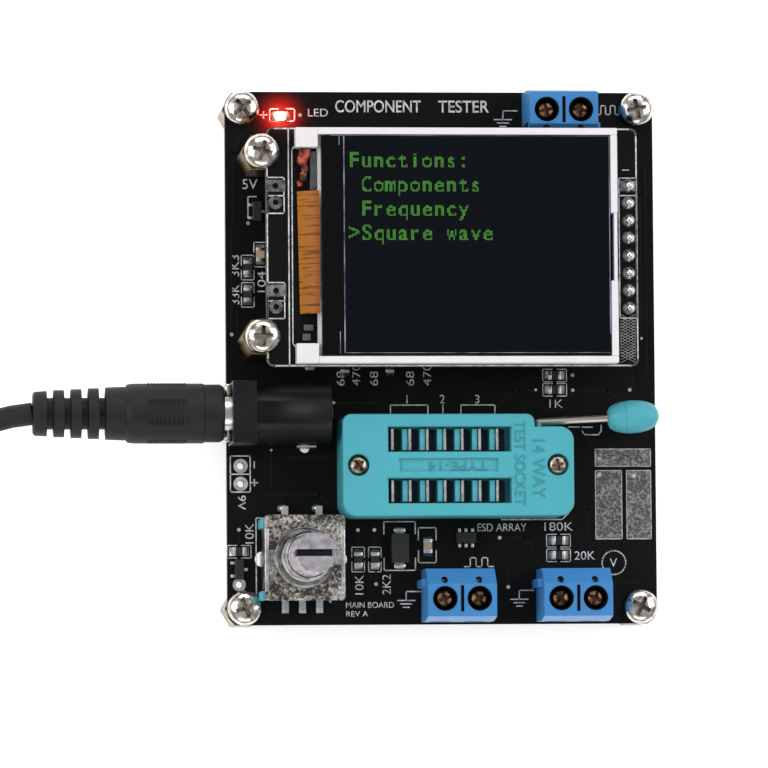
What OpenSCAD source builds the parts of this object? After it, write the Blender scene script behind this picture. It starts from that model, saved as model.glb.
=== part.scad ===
/* [Main board] */
// Width of the main board, left to right
board_w = 63; // [58:0.5:80]
// Length of the main board, front to back
board_l = 78; // [76:0.5:96]
// Thickness of the main board
board_t = 1.6; // [1.2:0.1:2.4]
// Corner radius of the main board
board_r = 2; // [1:0.25:4]
// Distance of each leg hole from the two board edges beside it
hole_inset = 2.5; // [2.5:0.1:5]
// Height of the legs under the main board
leg_h = 10; // [8:0.5:20]
// Width across flats of the legs and display posts
post_af = 5; // [4.5:0.1:6]

/* [Screws] */
// Nominal bore of the tapped posts and legs
tapped_d = 3; // [2.5:0.1:4]
// Radial gap between a screw's shank and the hole it passes
shank_gap = 0.05; // [0.03:0.01:0.2]
// Diameter of the holes that the screws pass
pass_hole_d = 3.2; // [3.1:0.1:4.5]
// Diameter of the pan heads
pan_head_d = 5.1; // [4.6:0.1:7]
// Height of the pan heads
pan_head_h = 2; // [1.5:0.1:3]
// How far the screws reach into a post or a leg
screw_bite = 4; // [2:0.5:4.5]

/* [Display] */
// Width of the display board
display_w = 54; // [50:0.5:60]
// Length of the display board
display_l = 34.6; // [34.2:0.2:38]
// Thickness of the display board
display_t = 1.6; // [1:0.1:2]
// Left edge of the display board, from the main board's centre
display_x0 = -26.5; // [-27:0.1:-25]
// Gap between the display board's far edge and the main board's far edge
display_y_gap = 6.5; // [6:0.1:9]
// Height of the posts under the display board
display_post_h = 11; // [11:0.5:15]
// How far the post axes stand outside the display board's left edge
post_out = 0.6; // [0.6:0.1:1.4]
// Distance between the two display posts
post_pitch = 26.7; // [24:0.1:28]
// How far the posts sit towards the far edge from the middle of the display board
post_shift = 0.4; // [0:0.1:1]
// Width of the display panel
panel_w = 46.6; // [44:0.1:48]
// Length of the display panel
panel_l = 34; // [32:0.1:34.2]
// Thickness of the display panel
panel_t = 2.8; // [2.5:0.1:3.4]
// Left edge of the panel from the display board's left edge
panel_inset = 4.1; // [3.5:0.1:5]
// Width of the panel frame's long sides and right side
frame_wall = 1.1; // [0.8:0.05:1.6]
// Length of the flex strip's bay at the panel's left end
flex_bay = 3.6; // [3:0.1:4.5]
// Distance from the glass's left edge to the polariser
glass_ledge = 3.3; // [2:0.1:5]
// Gap round the glass in its frame
glass_gap = 0.1; // [0.05:0.05:0.3]

/* [Pin header] */
// Number of display header pins
header_count = 8; // [4:1:10]
// Pitch of the header and of the test socket's contacts
pitch = 2.54; // [2.54, 2]
// Distance of the header row from the display board's right edge
header_inset = 1.4; // [1.3:0.1:2]
// Width across a header pin
pin_w = 0.64; // [0.5:0.02:0.7]
// Width of the header housings
header_w = 2.5; // [2.2:0.1:2.6]
// Height of the strip that holds the header pins
header_strip_h = 2.5; // [2:0.1:3]

/* [Test socket] */
// Width of the test socket
socket_w = 33.6; // [33:0.2:38]
// Length of the test socket, front to back
socket_l = 14.8; // [14:0.2:17]
// Height of the test socket above the board
socket_h = 10; // [9:0.2:12]
// Left edge of the test socket, from the main board's centre
socket_x0 = -15.4; // [-17:0.1:-14]
// Middle of the test socket, from the main board's centre
socket_y = -16.2; // [-17:0.1:-15]
// Height of the socket's base
socket_base_h = 4; // [3:0.1:5]
// Corner radius of the socket
socket_r = 2; // [1:0.1:3]
// Number of contacts in each row
contact_count = 7; // [5:1:7]
// Left edge of the contact windows from the socket's left edge
window_x = 6.6; // [6:0.1:8]
// Distance between the two rows of contacts
row_pitch = 7.45; // [7:0.05:8]
// Opening of a contact window, front to back
window_l = 3.6; // [3:0.1:4]
// Thickness of a socket contact
contact_t = 0.4; // [0.3:0.05:0.6]
// Travel of the socket's slider
slider_travel = 0.8; // [0.4:0.1:0.9]
// Gap round the slider
slider_gap = 0.1; // [0.05:0.05:0.2]
// Length of the notch where the lever lies
notch_w = 5.7; // [5:0.1:7]
// Depth of the notch where the lever lies
notch_l = 1.85; // [1.5:0.05:2.5]
// Diameter of the lever's wire
lever_d = 1.1; // [0.8:0.1:1.2]
// Radial running gap of the lever's axle
axle_gap = 0.05; // [0.02:0.01:0.1]
// Length of the lever's knob
knob_l = 7.9; // [6:0.1:9]
// Diameter of the lever's knob
knob_d = 4.8; // [4:0.1:6]
// Distance from the lever's axle to the knob
knob_x = 9.7; // [9:0.1:11]

/* [Terminal blocks] */
// Wire pitch of the terminal blocks
terminal_pitch = 5; // [5, 5.08]
// Depth of a terminal block from its wire face
terminal_l = 7.6; // [7.4:0.1:9]
// Height of a terminal block
terminal_h = 10; // [10:0.1:12]
// Bore of a terminal's screw well
well_d = 3.6; // [3.4:0.1:4]
// Diameter of a terminal screw's head
terminal_head_d = 3; // [2.8:0.1:3.3]
// Diameter of a terminal screw's shank
terminal_shank_d = 2.5; // [2:0.1:2.6]
// Radial running gap of a terminal screw
terminal_gap = 0.05; // [0.02:0.01:0.1]
// Travel of a rising clamp
clamp_travel = 1.5; // [0.5:0.1:1.6]
// Wall of a rising clamp
clamp_wall = 0.5; // [0.4:0.05:0.6]
// Places of the three blocks' middles along the board's edges
terminal_xs = [1.8, 18.7, 17.2];

/* [Power jack] */
// Length of the power jack
jack_l = 14.4; // [13:0.2:16]
// Width of the power jack
jack_w = 9; // [8.6:0.1:10]
// Height of the power jack's front
jack_h = 11; // [10.6:0.1:12]
// Length of the jack's front block
jack_front_l = 3.4; // [3:0.1:4]
// Middle of the jack, from the main board's centre
jack_y = -8.5; // [-9:0.1:-8]
// Height of the jack's bore above the board
jack_axis_h = 6.4; // [6:0.1:6.8]
// Bore of the jack
jack_bore_d = 6.2; // [6:0.1:6.4]
// Diameter of the jack's centre pin
jack_pin_d = 2; // [1.6:0.1:2.1]
// Radial gap between the centre pin and the plug's barrel
plug_pin_gap = 0.05; // [0.02:0.01:0.2]

/* [Rotary encoder] */
// Width of the encoder's metal frame
encoder_w = 11.7; // [11:0.1:13]
// Length of the encoder's metal frame
encoder_l = 12.4; // [12:0.1:13]
// Height of the encoder's body
encoder_h = 6.5; // [6.2:0.1:8]
// Place of the encoder's axis from the board's left and near edges
encoder_inset = [10.8, 9.6];
// Thickness of the encoder's sheet metal
encoder_sheet = 0.4; // [0.3:0.05:0.5]
// Diameter of the bushing's collar
bushing_d = 7; // [6.8:0.1:9]
// Height of the bushing above the frame
bushing_h = 7; // [5:0.5:9]
// Diameter of the encoder's shaft
shaft_d = 6; // [5:0.1:6]
// Height of the shaft's end above the frame
shaft_h = 20; // [12:0.5:25]
// Radial running gap of the shaft
shaft_gap = 0.05; // [0.02:0.01:0.1]
// Travel of the shaft when it is pressed
press_travel = 0.5; // [0.2:0.1:0.6]
// Number of splines on the shaft
spline_count = 18; // [12:1:24]

/* [Power lead] */
// Diameter of the lead
cord_d = 3.3; // [3:0.1:3.6]
// Diameter of the plug's grip
grip_d = 8.7; // [8:0.1:10]
// Length of the plug's grip
grip_l = 14.3; // [12:0.1:16]
// Gap between the plug's grip and the jack
plug_gap = 1.1; // [0.5:0.1:2]
// Outside diameter of the plug's barrel
barrel_d = 5.5; // [5:0.1:5.6]
// How far the barrel goes into the jack
barrel_in = 8.6; // [7:0.1:9]
// Radius of the lead's coil at the middle of its turns
coil_r = 16.75; // [16.5:0.25:19]
// Height gained in one turn of the coil
coil_rise = 3.4; // [3.3:0.1:4]
// Turns in the coil
coil_turns = 2.375; // [2:0.125:3]
// Thickness of the tie round the coil
tie_t = 0.5; // [0.4:0.1:1]
// Width, length and height of the battery snap
snap_size = [12.6, 26, 5.2];

/* [Hidden] */
$fn = 48;
eps = 0.01;
board_z = leg_h;
top_z = leg_h + board_t;
hole_x = board_w / 2 - hole_inset;
hole_y = board_l / 2 - hole_inset;
shank_d = tapped_d - 2 * shank_gap;
lead_hole_gap = 0.15;
solder_h = 1;
leg_web_t = 0.6;
leg_upper_gap = 0.2;
leg_web_z = leg_h - screw_bite - 0.4 - leg_web_t;
left_x = -board_w / 2;
near_y = -board_l / 2;
far_y = board_l / 2;
pad_holes = [[left_x + 2, -15.8], [left_x + 2, -18.4], [left_x + 1.7, near_y + 5.9]];
pad_hole_d = 1;

display_z = top_z + display_post_h;
display_cx = display_x0 + display_w / 2;
display_cy = board_l / 2 - display_y_gap - display_l / 2;
post_x = display_x0 - post_out;
panel_z = display_z + display_t;
panel_x0 = display_x0 + panel_inset;
panel_floor_t = 0.6;
guide_t = 0.5;
glass_t = 1.3;
polariser_t = 0.2;
glass_x0 = panel_x0 + flex_bay + glass_gap;
glass_x1 = panel_x0 + panel_w - frame_wall - glass_gap;
glass_l = panel_l - 2 * frame_wall - 2 * glass_gap;
glass_z = panel_z + panel_floor_t + guide_t;
header_x = display_x0 + display_w - header_inset;
header_ys = [for (i = [0 : header_count - 1]) display_cy + (i - (header_count - 1) / 2) * pitch];
header_l = header_count * pitch;
header_socket_h = display_post_h - header_strip_h;
pin_slot_gap = 0.1;

socket_x1 = socket_x0 + socket_w;
socket_y0 = socket_y - socket_l / 2;
socket_y1 = socket_y + socket_l / 2;
row_ys = [socket_y - row_pitch / 2, socket_y + row_pitch / 2];
window_x0 = socket_x0 + window_x;
window_w = contact_count * pitch + 0.1;
contact_inset = 0.45;
contact_xs = [for (i = [0 : contact_count - 1]) window_x0 + contact_inset + contact_t / 2 + i * pitch];
rib_w = 0.75;
rib_off = contact_t / 2 + 1.3 + rib_w / 2;
slider_z = top_z + socket_base_h;
slider_t = 2;
rib_top = top_z + socket_h - 1.2;
contact_top = top_z + socket_h - 0.8;
contact_l = window_l - 0.5;
slider_x0 = window_x0 - 0.6;
cam_x = socket_x1 - notch_w + 1.1;
cam_z = top_z + socket_base_h + 2.2;
cam_r = 1.45;
cam_throw = 0.56 * slider_travel;
cam_pocket_w = 2 * (cam_r + cam_throw) + 0.3;
slider_x1 = cam_x - cam_r - 0.06;
slider_l = row_pitch + window_l + 1.2;
cam_l = 7;
axle_y0 = socket_y - 5;
lever_y = socket_y1 - notch_l + 0.3 + lever_d / 2;
lever_skew = 3;
socket_screw_xs = [socket_x0 + 2.3, socket_x1 - 2.3];
socket_head_d = 2.9;
socket_head_h = 1.5;
socket_shank_d = 1.6;
socket_pin_d = 0.6;

terminal_w = 2 * terminal_pitch;
terminal_edge = 0.3;
cell_w = terminal_pitch - 1.1;
cell_y0 = 1;
cell_y1 = 6.3;
cell_floor = 0.6;
entry_w = 3;
entry_h = 3.4;
screw_y = 3.2;
clamp_w = 3.5;
clamp_y0 = 1.2;
clamp_y1 = 5.2;
clamp_z0 = 0.8;
clamp_h = 4.9;
cell_top = clamp_z0 + clamp_h + clamp_travel + 0.2;
clamp_bar_t = 0.7;
bus_w = clamp_w - 2 * clamp_wall - 0.2;
bus_t = 0.5;
bus_z = clamp_z0 + clamp_h - clamp_bar_t - bus_t - 0.05;
bus_leg_y = 5.8;
bus_leg_t = 0.4;
terminal_pin_d = 0.9;
shoulder_z = cell_top + 0.5;
terminal_screw_top = terminal_h - 0.9;
terminal_shank_z = bus_z + bus_t + 0.1;

jack_x0 = -board_w / 2 + 0.2;
jack_x1 = jack_x0 + jack_l;
jack_axis_z = top_z + jack_axis_h;
jack_depth = 10.4;
jack_pin_x0 = jack_x0 + 1;
jack_blade_t = 0.3;
jack_blade_w = 1.2;
jack_back_x = jack_x1 + jack_blade_t / 2;
jack_spring_x = jack_x0 + 7.8;
jack_side = [jack_x0 + 11.2, jack_y - jack_w / 2 - jack_blade_t / 2];
jack_leads = [[jack_back_x, jack_y], [jack_spring_x, jack_y], jack_side];

enc_x = -board_w / 2 + encoder_inset[0];
enc_y = -board_l / 2 + encoder_inset[1];
enc_base_w = encoder_w - 2 * encoder_sheet - 0.1;
enc_base_l = encoder_l - 0.4;
enc_base_h = encoder_h - encoder_sheet - 1.1;
window_d = 9;
key_w = 2.4;
lug_w = 2;
frame_side_l = 9;
enc_lead_d = 0.8;
enc_leads = [for (i = [-1 : 1]) [enc_x + 2.5 * i, enc_y - 7.5], for (i = [-1, 1]) [enc_x + 2.5 * i, enc_y + 7.3]];
rotor_d = 9.6;
rotor_z = 2.9;
rotor_t = 1.2;
rotor_cavity_d = 10;
drive_d = 4.5;
drive_flat = 1.7;
drive_top = enc_base_h + 0.2;
button_d = 3;
button_h = 0.9;
button_floor = 0.8;
drive_bottom = button_floor + press_travel + 0.2 + button_h;
spline_z = bushing_h + encoder_h + 0.4;
shaft_top = encoder_h + shaft_h;

chip_t = 0.55;
chip_end = 0.4;
chips_across = [[16.7, -2.65], [16.7, -4.75], [17.05, near_y + 12.15], [17.05, near_y + 10],
    [left_x + 1.7, near_y + 10.7]];
chips_along = [[left_x + 3.2, far_y - 25.8], [left_x + 3.2, far_y - 29.8], [-12.4, near_y + 9.5],
    [-9.95, near_y + 9.5], [-14.2, -1.2], [-7.6, -1.2]];
caps_along = [[left_x + 5.05, far_y - 23.9], [-2.2, near_y + 11.4], [-19.3, -0.8]];
chip_l = 2;
chip_w = 1.25;
sot_places = [[left_x + 4.6, far_y - 17.6], [left_x + 1.7, near_y + 8.1]];
diode_place = [-6.4, near_y + 11.1];
diode_size = [2.6, 4.3, 2.1];
tvs_place = [3.4, near_y + 12.6];
mcu_place = [-2, 14];
mcu_w = 7;
crystal_place = [-13, 14];
regulator_place = [10, 22];
led_place = [left_x + 8.1, far_y - 3.6];
pad_t = 0.08;

grip_x1 = jack_x0 - plug_gap;
grip_x0 = grip_x1 - grip_l;
relief_l = 13.3;
relief_x0 = grip_x0 - relief_l;
relief_d0 = 6.4;
plug_y = jack_y;
barrel_bore_d = jack_pin_d + 2 * plug_pin_gap;

// Middle of the coil, and the route of the lead where it isn't coiled
coil_x = -104;
coil_y = -12;
coil_z0 = tie_t;
coil_h = cord_d + coil_rise * coil_turns;
run_route = [
    [-60, -8.5, 18], [-63, -8.9, 17.6], [-66, -9.6, 16.5], [-69, -10.5, 14.7], [-72, -11.6, 12.5],
    [-75, -12.9, 10.1], [-78, -14.3, 7.6], [-81, -15.9, 5.4], [-84, -17.7, 3.7], [-87, -19.7, 2.6],
    [-90, -21.9, 2.2], [-92.2, -23.8, 2.15]
];
tail_route = [
    [-120.75, -12, 10.2], [-120.75, -9, 10.1], [-120.75, -6, 9.3], [-120.75, -3, 7.7], [-120.75, 0, 5.7],
    [-120.75, 3, 4], [-120.75, 6, 2.9], [-120.75, 9.6, 2.6]
];
snap_x = -120.75;
snap_y0 = 9;

snap_stud_pitch = 12.7;
snap_plate_h = 3;

post_ys = [for (way = [-1, 1]) display_cy + post_shift + way * post_pitch / 2];
lead_drop = board_t + 1.2;
round_leads = concat(
    [for (b = [0 : 2], i = [0, 1]) concat(terminal_lead(b, i), terminal_pin_d)],
    [for (y = row_ys, x = contact_xs) [x, y, socket_pin_d]],
    [for (y = header_ys) [header_x, y, socket_pin_d]],
    [for (p = enc_leads) [p[0], p[1], enc_lead_d]]
);
lug_xs = [enc_x - encoder_w / 2 + encoder_sheet / 2, enc_x + encoder_w / 2 - encoder_sheet / 2];

// Middle of a block's wire face, and which way its inside lies
function block_at(b) = [terminal_xs[b], (b < 2 ? -1 : 1) * (board_l / 2 - terminal_edge)];
function block_way(b) = b < 2 ? 1 : -1;
function cell_x(i) = (i - 0.5) * terminal_pitch;
function terminal_lead(b, i) = [
    block_at(b)[0] + block_way(b) * cell_x(i),
    block_at(b)[1] + block_way(b) * (bus_leg_y + bus_leg_t / 2)
];

// ---- shared shapes ----

module box(low, high) {
    translate(low) cube(high - low);
}

// A flat outline with round corners, from its low and high corners
module round_rect(low, high, r) {
    translate(low + [r, 0]) square([high[0] - low[0] - 2 * r, high[1] - low[1]]);
    translate(low + [0, r]) square([high[0] - low[0], high[1] - low[1] - 2 * r]);
    for (x = [low[0] + r, high[0] - r], y = [low[1] + r, high[1] - r])
        translate([x, y]) circle(r);
}

module round_plate(w, l, t, r) {
    linear_extrude(t) round_rect([-w / 2, -l / 2], [w / 2, l / 2], r);
}

// Rod along X from a place
module rod_x(at, d, l) {
    translate(at) rotate([0, 90, 0]) cylinder(d = d, h = l);
}

module cross_recess(w, t, depth) {
    for (a = [0, 90]) rotate(a) translate([-w / 2, -t / 2, -depth]) cube([w, t, depth + eps]);
}

// Pan-head screw with its head's seat at the origin and its shank down
module pan_screw(l) {
    difference() {
        union() {
            cylinder(d = pan_head_d, h = pan_head_h * 0.6);
            translate([0, 0, pan_head_h * 0.6])
                cylinder(d1 = pan_head_d, d2 = pan_head_d * 0.7, h = pan_head_h * 0.4);
            translate([0, 0, -l]) cylinder(d = shank_d, h = l);
        }
        translate([0, 0, pan_head_h]) cross_recess(pan_head_d * 0.55, 0.9, pan_head_h * 0.6);
    }
}

// Hexagonal bar standing on z = 0
module hex_bar(h) {
    cylinder(d = post_af / cos(30), h = h, $fn = 6);
}

module at_corners() {
    for (x = [-hole_x, hole_x], y = [-hole_y, hole_y]) translate([x, y, 0]) children();
}

module at_posts() {
    for (y = post_ys) translate([post_x, y, 0]) children();
}

module drill(p, d) {
    translate([p[0], p[1], board_z - 1]) cylinder(d = d, h = board_t + 2);
}

// ---- main board and its fasteners ----

module main_board() {
    color([0.04, 0.04, 0.05]) difference() {
        translate([0, 0, board_z]) round_plate(board_w, board_l, board_t, board_r);
        for (x = [-hole_x, hole_x], y = [-hole_y, hole_y]) drill([x, y], pass_hole_d);
        for (y = post_ys) drill([post_x, y], pass_hole_d);
        for (p = round_leads) drill(p, p[2] + 2 * lead_hole_gap);
        for (p = jack_leads) drill(p, jack_blade_w + 2 * lead_hole_gap);
        for (x = lug_xs) drill([x, enc_y], lug_w + 2 * lead_hole_gap);
        for (p = pad_holes) drill(p, pad_hole_d);
    }
}

// The legs are tapped from each end, with a web between
module legs() {
    color("goldenrod") at_corners() difference() {
        hex_bar(leg_h);
        translate([0, 0, -1]) cylinder(d = tapped_d, h = leg_web_z + 1);
        translate([0, 0, leg_web_z + leg_web_t]) cylinder(d = tapped_d + leg_upper_gap, h = leg_h);
    }
}

module corner_screws() {
    color("silver") at_corners() translate([0, 0, top_z]) pan_screw(board_t + screw_bite);
}

module display_posts() {
    color("goldenrod") at_posts() translate([0, 0, top_z]) difference() {
        hex_bar(display_post_h);
        translate([0, 0, -1]) cylinder(d = tapped_d, h = display_post_h + 2);
    }
}

module display_screws() {
    color("silver") at_posts() {
        translate([0, 0, display_z + display_t]) pan_screw(display_t + screw_bite);
        translate([0, 0, board_z]) mirror([0, 0, 1]) pan_screw(board_t + screw_bite);
    }
}

// ---- display ----

module display_board() {
    color([0.04, 0.04, 0.05]) difference() {
        translate([display_cx, display_cy, display_z])
            round_plate(display_w, display_l, display_t, 1.2);
        at_posts() translate([0, 0, display_z - 1]) cylinder(d = pass_hole_d, h = display_t + 2);
        for (y = header_ys) translate([header_x, y, display_z - 1])
            cylinder(d = pin_w * sqrt(2) + 0.1, h = display_t + 2);
    }
}

module display_frame() {
    block_l = 2.85;
    wall_y = panel_l / 2 - frame_wall;
    color("white") translate([0, display_cy, panel_z]) difference() {
        box([panel_x0, -panel_l / 2, 0], [panel_x0 + panel_w, panel_l / 2, panel_t]);
        box([panel_x0 + flex_bay, -wall_y, panel_floor_t],
            [panel_x0 + panel_w - frame_wall, wall_y, panel_t + 1]);
        box([panel_x0 - 1, -panel_l / 2 + block_l, panel_floor_t],
            [panel_x0 + flex_bay + 1, panel_l / 2 - block_l, panel_t + 1]);
    }
}

module display_light_guide() {
    color("whitesmoke") translate([0, display_cy, panel_z + panel_floor_t])
        box([glass_x0, -glass_l / 2, 0], [glass_x1, glass_l / 2, guide_t]);
}

module display_glass() {
    color([0.1, 0.1, 0.12]) translate([0, display_cy, glass_z])
        box([glass_x0, -glass_l / 2, 0], [glass_x1, glass_l / 2, glass_t]);
}

module display_polariser() {
    color([0.03, 0.03, 0.05]) translate([0, display_cy, glass_z + glass_t])
        box([glass_x0 + glass_ledge, -glass_l / 2, 0], [glass_x1, glass_l / 2, polariser_t]);
}

module display_flex() {
    flex_l = panel_l - 2 * 3.2;
    flex_t = 0.2;
    color([0.75, 0.35, 0.12]) translate([0, display_cy, 0]) {
        box([panel_x0 + 0.4, -flex_l / 2, panel_z + panel_floor_t],
            [glass_x0 - glass_gap, flex_l / 2, glass_z + glass_t]);
        box([panel_x0 + 0.4, -flex_l / 2, glass_z + glass_t],
            [glass_x0 + glass_ledge / 3, flex_l / 2, glass_z + glass_t + flex_t]);
    }
}

// ---- pin header ----

module header_strip() {
    color([0.06, 0.06, 0.06]) difference() {
        box([header_x - header_w / 2, display_cy - header_l / 2, display_z - header_strip_h],
            [header_x + header_w / 2, display_cy + header_l / 2, display_z]);
        header_slots(display_z - header_strip_h - 1, display_z + 1, pin_slot_gap);
    }
}

module header_socket() {
    color([0.06, 0.06, 0.06]) difference() {
        box([header_x - header_w / 2, display_cy - header_l / 2, top_z],
            [header_x + header_w / 2, display_cy + header_l / 2, top_z + header_socket_h]);
        header_slots(top_z - 1, top_z + header_socket_h + 1, pin_slot_gap);
    }
}

module header_slots(low, high, gap) {
    w = pin_w / 2 + gap;
    for (y = header_ys) box([header_x - w, y - w, low], [header_x + w, y + w, high]);
}

module header_pins() {
    color("gold") header_slots(top_z + 2, display_z + display_t + 1.1, 0);
}

// ---- parts soldered on the main board ----

module microcontroller() {
    color([0.1, 0.1, 0.1]) translate([mcu_place[0], mcu_place[1], top_z + 0.1]) difference() {
        round_plate(mcu_w, mcu_w, 1, 0.3);
        translate([-mcu_w / 2 + 1, mcu_w / 2 - 1, 0.9]) cylinder(d = 0.8, h = 1);
    }
}

module crystal() {
    can_l = 11;
    can_w = 4.6;
    color("silver") translate([crystal_place[0], crystal_place[1], top_z]) {
        round_plate(can_w, can_l, 0.5, can_w / 2 - 0.05);
        translate([0, 0, 0.5]) round_plate(can_w - 0.8, can_l - 0.8, 3, can_w / 2 - 0.45);
    }
}

module small_packages() {
    color([0.1, 0.1, 0.1]) translate([0, 0, top_z + 0.1]) {
        for (p = sot_places) translate([p[0], p[1], 0]) round_plate(1.3, 2.9, 1, 0.1);
        translate([tvs_place[0], tvs_place[1], 0]) round_plate(2.9, 1.6, 1.05, 0.1);
        translate([regulator_place[0], regulator_place[1], 0]) round_plate(4.5, 2.5, 1.5, 0.1);
    }
}

module chip_bodies(w) {
    box([-chip_l / 2 + chip_end, -w / 2, 0], [chip_l / 2 - chip_end, w / 2, chip_t]);
}

// Plated ends of a chip with their solder
module chip_ends(w) {
    for (m = [0, 1]) mirror([m, 0, 0]) translate([chip_l / 2 - chip_end, w / 2, 0])
        rotate([90, 0, 0]) linear_extrude(w)
            polygon([[0, 0], [chip_end + 0.5, 0], [chip_end, chip_t], [0, chip_t]]);
}

module at_chips(places, turn) {
    for (p = places) translate([p[0], p[1], top_z]) rotate(turn) children();
}

module chip_resistors() {
    color([0.12, 0.12, 0.13]) {
        at_chips(chips_across, 0) chip_bodies(chip_w);
        at_chips(chips_along, 90) chip_bodies(chip_w);
    }
}

module chip_capacitors() {
    color([0.72, 0.6, 0.42]) at_chips(caps_along, 90) chip_bodies(chip_w);
}

module component_leads() {
    color("silver") {
        at_chips(chips_across, 0) chip_ends(chip_w);
        at_chips(concat(chips_along, caps_along), 90) chip_ends(chip_w);
        at_chips([led_place], 0) chip_ends(chip_w);
        microcontroller_leads();
        package_leads();
        diode_tabs();
        header_clips();
        encoder_leads();
    }
}

module microcontroller_leads() {
    lead_pitch = 0.8;
    translate([mcu_place[0], mcu_place[1], top_z]) for (a = [0 : 90 : 270], i = [-3.5 : 3.5])
        rotate(a) translate([mcu_w / 2, i * lead_pitch - 0.18, 0]) cube([1, 0.36, 0.5]);
}

module package_leads() {
    lead = [0.6, 0.4, 0.5];
    for (p = sot_places) translate([p[0], p[1], top_z]) {
        for (y = [-0.95, 0.95]) translate([-0.65 - lead[0], y - 0.2, 0]) cube(lead);
        translate([0.65, -0.2, 0]) cube(lead);
    }
    translate([tvs_place[0], tvs_place[1], top_z]) for (x = [-0.95, 0, 0.95], s = [0, 1])
        mirror([0, s, 0]) translate([x - 0.2, 0.8, 0]) cube([lead[1], lead[0], lead[2]]);
    translate([regulator_place[0], regulator_place[1], top_z]) for (x = [-1.5, 0, 1.5])
        translate([x - 0.2, -1.25 - 1, 0]) cube([0.4, 1, 0.5]);
}

module diode_tabs() {
    translate([diode_place[0], diode_place[1], top_z]) for (s = [0, 1]) mirror([0, s, 0])
        translate([-0.7, diode_size[1] / 2, 0]) cube([1.4, 0.8, 0.9]);
}

// Tails of the clips inside the header socket
module header_clips() {
    for (y = header_ys) translate([header_x, y, top_z - lead_drop])
        cylinder(d = socket_pin_d, h = lead_drop + 1.9);
}

module encoder_leads() {
    strip_w = 1;
    for (p = enc_leads) {
        way = p[1] < enc_y ? -1 : 1;
        inner = enc_y + way * enc_base_l / 2;
        translate([p[0], p[1], top_z - lead_drop]) cylinder(d = enc_lead_d, h = lead_drop + 1.2);
        box([p[0] - strip_w / 2, min(inner, p[1] + way * 0.4), top_z + 1.2],
            [p[0] + strip_w / 2, max(inner, p[1] + way * 0.4), top_z + 1.5]);
    }
}

module diode() {
    color([0.09, 0.09, 0.1]) translate([diode_place[0], diode_place[1], top_z + 0.05])
        round_plate(diode_size[0], diode_size[1], diode_size[2], 0.15);
}

module status_led() {
    color([1, 0.25, 0.15]) at_chips([led_place], 0) {
        chip_bodies(chip_w);
        translate([0, 0, chip_t]) round_plate(1.1, 1.1, 0.35, 0.2);
    }
}

module probe_pads() {
    right = board_w / 2 - 0.7;
    split = right - 4;
    left = right - 8.3;
    top = -13.4;
    mid = top - 2.9;
    low = mid - 10.4;
    color("silver") translate([0, 0, top_z]) {
        box([left, mid + 0.25, 0], [right, top, pad_t]);
        box([left, low, 0], [split - 0.3, mid - 0.25, pad_t]);
        box([split + 0.3, low, 0], [right, mid - 0.25, pad_t]);
    }
}

// Cones of solder round each lead, under the board
module solder_joints() {
    color("lightgray") {
        for (p = round_leads) translate([p[0], p[1], board_z]) mirror([0, 0, 1]) difference() {
            cylinder(d1 = p[2] + 1, d2 = p[2] + 0.3, h = solder_h);
            translate([0, 0, -1]) cylinder(d = p[2], h = solder_h + 2);
        }
        for (y = header_ys) translate([header_x, y, display_z + display_t]) difference() {
            cylinder(d1 = 1.7, d2 = 1.2, h = 0.7);
            box([-pin_w / 2, -pin_w / 2, -1], [pin_w / 2, pin_w / 2, 2]);
        }
    }
}

// ---- test socket ----

module socket_outline() {
    round_rect([socket_x0, socket_y0], [socket_x1, socket_y1 - notch_l], socket_r);
    round_rect([socket_x0, socket_y0 + 2 * socket_r], [socket_x1 - notch_w, socket_y1], 1.2);
    translate([socket_x0 + socket_r, socket_y0])
        square([socket_w - notch_w - 2 * socket_r, socket_l - notch_l]);
}

module socket_base() {
    slot = [contact_t + 0.2, contact_l + 0.2];
    color([0.22, 0.62, 0.66]) difference() {
        translate([0, 0, top_z]) linear_extrude(socket_base_h) socket_outline();
        for (x = contact_xs, y = row_ys) {
            translate([x - slot[0] / 2, y - slot[1] / 2, top_z + 1])
                cube([slot[0], slot[1], socket_base_h]);
            translate([x, y, top_z - 1]) cylinder(d = socket_pin_d + 0.1, h = 3);
        }
        for (x = socket_screw_xs) translate([x, socket_y, top_z + 0.8])
            cylinder(d = socket_shank_d + 2 * shank_gap, h = socket_base_h);
    }
}

module socket_cover() {
    top = top_z + socket_h;
    cavity_l = slider_l + 2 * slider_gap;
    plate_top = slider_z + slider_t + 2 * slider_gap;
    recess_l = 1.75;
    color([0.25, 0.66, 0.71]) difference() {
        translate([0, 0, slider_z]) linear_extrude(socket_h - socket_base_h) socket_outline();
        box([slider_x0 - slider_travel - slider_gap, socket_y - cavity_l / 2, slider_z - 1],
            [slider_x1 + 0.3, socket_y + cavity_l / 2, plate_top]);
        for (y = row_ys) box([window_x0, y - window_l / 2, slider_z],
            [window_x0 + window_w, y + window_l / 2, top + 1]);
        box([window_x0 + 1.7, socket_y - recess_l / 2, top - 0.5],
            [window_x0 + window_w - 2, socket_y + recess_l / 2, top + 1]);
        box([cam_x - cam_pocket_w / 2, socket_y - cam_l / 2 - 0.15, slider_z - 1],
            [cam_x + cam_pocket_w / 2, socket_y + cam_l / 2 + 0.15, cam_z + cam_pocket_w / 2]);
        translate([cam_x, axle_y0 - 0.1, cam_z]) rotate([-90, 0, 0])
            cylinder(d = lever_d + 2 * axle_gap, h = socket_l);
        for (x = socket_screw_xs) translate([x, socket_y, 0]) {
            translate([0, 0, slider_z - 1]) cylinder(d = socket_shank_d + 2 * shank_gap, h = socket_h);
            translate([0, 0, top - socket_head_h - 0.3]) cylinder(d = socket_head_d + 0.2, h = 3);
        }
    }
}

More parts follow.
